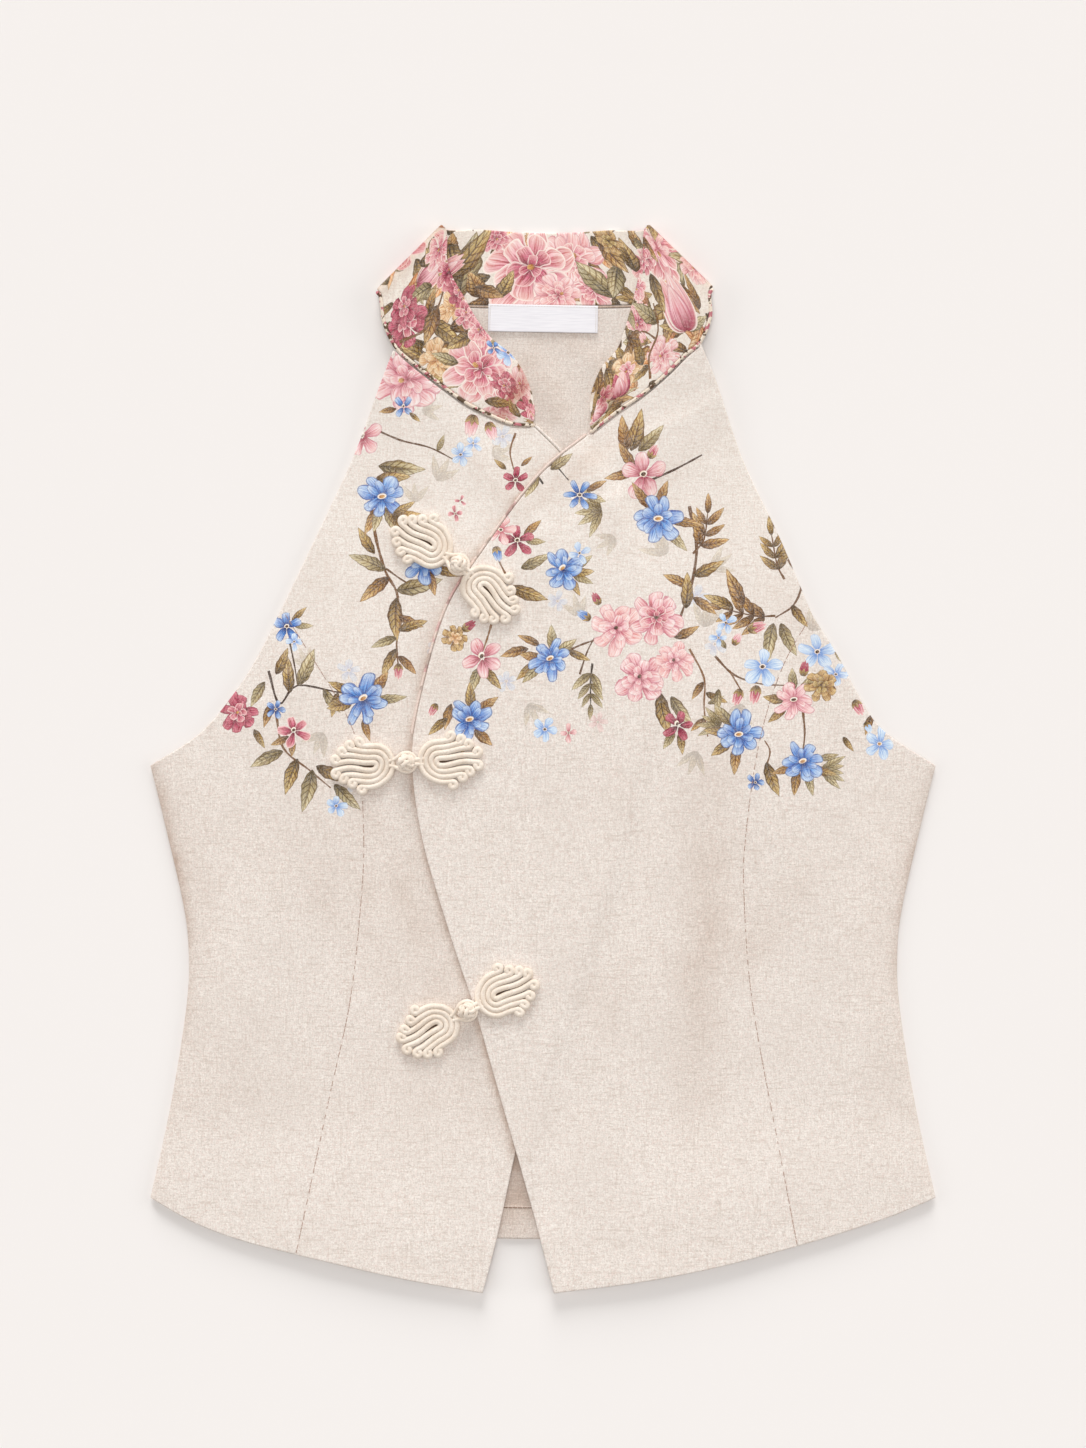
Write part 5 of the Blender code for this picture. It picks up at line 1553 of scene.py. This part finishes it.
def knot_tail(frog, turn):
    """The knot's two stems, side by side from the ball to the scroll."""
    tails = []
    for side in (-1.25, 1.25):
        plan = placed(frog, turn, np.array([(3.0, side * 0.9), (5.0, side), (6.6, side), (8.8, side * 1.3)]))
        height = over_cloth(plan, 1.15) + (1.6, 1.4, 0.9, 0.6)
        tails.append((evenly(smoothed(np.column_stack([plan, height]), 1), 14), STEM_CORD))
    return tails


def make_knot(frog, pick):
    """A ball of cord woven over and under itself."""
    centre = np.array([frog.x, frog.y, knot_height(frog)])
    tilt = [pick.uniform(20, 70), pick.uniform(20, 60), pick.uniform(0, 90)]
    cx, cy, cz = np.cos(np.radians(tilt))
    sx, sy, sz = np.sin(np.radians(tilt))
    spin = np.array([[cz, -sz, 0], [sz, cz, 0], [0, 0, 1]]) @ np.array([[cy, 0, sy], [0, 1, 0], [-sy, 0, cy]])
    spin = spin @ np.array([[1, 0, 0], [0, cx, -sx], [0, sx, cx]])
    angles = np.linspace(0, 2 * math.pi, 61)
    lift = KNOT_RADIUS + 0.46 * np.cos(2 * angles)
    tubes = []
    for axis in range(3):
        for shift in (-KNOT_SPREAD, KNOT_SPREAD):
            ring = np.zeros((len(angles), 3))
            wide = np.sqrt(np.maximum(lift**2 - shift**2, 1))
            ring[:, axis], ring[:, (axis + 1) % 3] = wide * np.cos(angles), wide * np.sin(angles)
            ring[:, (axis + 2) % 3] = shift
            tubes.append(swept(ring @ spin.T * (1, 1, 0.93) + centre, KNOT_CORD, 10))
    cords_object(f"frog_{frog.name}_knot", tubes, CORD)


def make_frogs():
    for index, frog in enumerate(FROGS):
        pick = random.Random(40 + index)
        for part, turn, tail, sway in (
            ("loop", frog.loop_turn, loop_tail, frog.loop_sway),
            ("knot", frog.knot_turn, knot_tail, frog.knot_sway),
        ):
            make_scroll(frog, turn, f"frog_{frog.name}_{part}_scroll", tail(frog, turn), sway, pick)
        make_knot(frog, pick)


# Label
LABEL_HALF_WIDTH = 30.0
LABEL_HALF_HEIGHT = 7.5
LABEL_Y = 240.6
LABEL_TURN = -1
LABEL_TOP = 2.95


def make_label():
    """The bare tape and its stitches: a row at both ends and one along its upper edge."""
    wide, tall = LABEL_HALF_WIDTH, LABEL_HALF_HEIGHT
    cos, sin = toward(LABEL_TURN)

    def turned(points):
        x, y = np.asarray(points, float).T
        return np.column_stack([x * cos - y * sin, LABEL_Y + x * sin + y * cos])

    def top(x, y):
        return LABEL_TOP + 0.10 * ripple(x, y, 26, 4) * smooth_step((30 - np.abs(x)) / 8)

    xs, ys = np.linspace(-wide, wide, 61)[:-1], np.linspace(-tall, tall, 16)[:-1]
    lower, right = np.column_stack([xs, 0 * xs - tall]), np.column_stack([0 * ys + wide, ys])
    outline = turned(np.vstack([lower, right, -lower, -right]))
    shell("neck_label", outline, on_height(top), LABEL, 0.7, step=2.0)
    tubes = []
    for x in (1.1 - wide, wide - 1.1):
        for y in np.arange(-6.3, 6.4, 1.25):
            ends = turned([(x, y - 0.38), (x, y), (x, y + 0.38)])
            tubes.append(stitch(ends, LABEL_TOP + np.array([0.02, 0.1, 0.02]), 0.16))
    for x in np.arange(-28, 28.5, 1.6):
        ends = turned([(x - 0.45, tall - 0.9), (x, tall - 0.9), (x + 0.45, tall - 0.9)])
        tubes.append(stitch(ends, LABEL_TOP + np.array([0.02, 0.09, 0.02]), 0.13))
    cords_object("label_stitches", tubes, THREAD, replaces=False)


# Stage, lights and camera
FLOOR_HALF = 1600
FLOOR_DROP = 0.3
SUN_SPREAD = 30
CAMERA_PLACE = (0, 0.0189, 1.872)


def make_stage():
    """A plain pale floor, just under the vest."""
    corners = [(x * FLOOR_HALF, y * FLOOR_HALF, -FLOOR_DROP) for x, y in ((-1, -1), (1, -1), (1, 1), (-1, 1))]
    floor = make_mesh("floor", corners, [(0, 1, 2, 3)])
    look = Look("floor", Roughness=0.95)
    look.colour(look.mix(look.noise(3, 2.0), (0.951, 0.934, 0.925), (0.947, 0.930, 0.921)))
    obj = bpy.data.objects.new("floor", floor)
    bpy.context.scene.collection.objects.link(obj)
    floor.materials.append(look.material)


def make_lights_and_camera():
    """Wide soft suns from overhead, from past the collar and from both sides, in an even pale surround."""
    world = bpy.data.worlds.new("studio")
    world.use_nodes = True
    sky = world.node_tree.nodes["Background"]
    sky.inputs["Color"].default_value = (1.0, 0.99, 0.98, 1)
    sky.inputs["Strength"].default_value = 0.235
    scene = bpy.context.scene
    scene.world = world
    scene.view_settings.view_transform = "Standard"
    for name, power, colour, place in (
        ("key", 1.22, (1.0, 0.98, 0.955), (-0.03, 0.02, 1.0)),
        ("low", 2.40, (0.99, 1.0, 1.0), (-0.03, 0.937, 0.350)),
        ("left", 0.64, (1.0, 0.99, 0.98), (-0.938, 0.05, 0.342)),
        ("right", 0.76, (1.0, 0.99, 0.98), (0.938, 0.05, 0.342)),
    ):
        data = bpy.data.lights.new(name, "SUN")
        data.energy, data.angle, data.color = power, math.radians(SUN_SPREAD), colour
        lamp = bpy.data.objects.new(name, data)
        lamp.rotation_euler = Vector(place).to_track_quat("Z", "Y").to_euler()
        scene.collection.objects.link(lamp)
    data = bpy.data.cameras.new("camera")
    data.lens, data.sensor_width = 85, 36
    data.sensor_fit = "AUTO"
    camera = bpy.data.objects.new("camera", data)
    camera.location = CAMERA_PLACE
    scene.collection.objects.link(camera)
    scene.camera = camera


make_lights_and_camera()
make_stage()
make_panels()
make_seam_stitches()
make_back()
make_collar()
make_pipings()
make_frogs()
make_label()

PANEL_ALLOWANCE = 8.0
ALLOWANCES = {"back_hem": 2.0, "neck_label": 1.5, "collar": 2.5}


def declare_sheets():
    """Works out each sheet's area and its seam allowance's area; nothing is done with them."""
    for name, (outline, rests_on) in SHEETS.items():
        allowance = ALLOWANCES.get(name, PANEL_ALLOWANCE)
        follow = np.roll(outline, -1, axis=0)
        inner = 0.5 * abs((outline[:, 0] * follow[:, 1] - outline[:, 1] * follow[:, 0]).sum())
        border = np.linalg.norm(follow - outline, axis=1).sum() * allowance


declare_sheets()
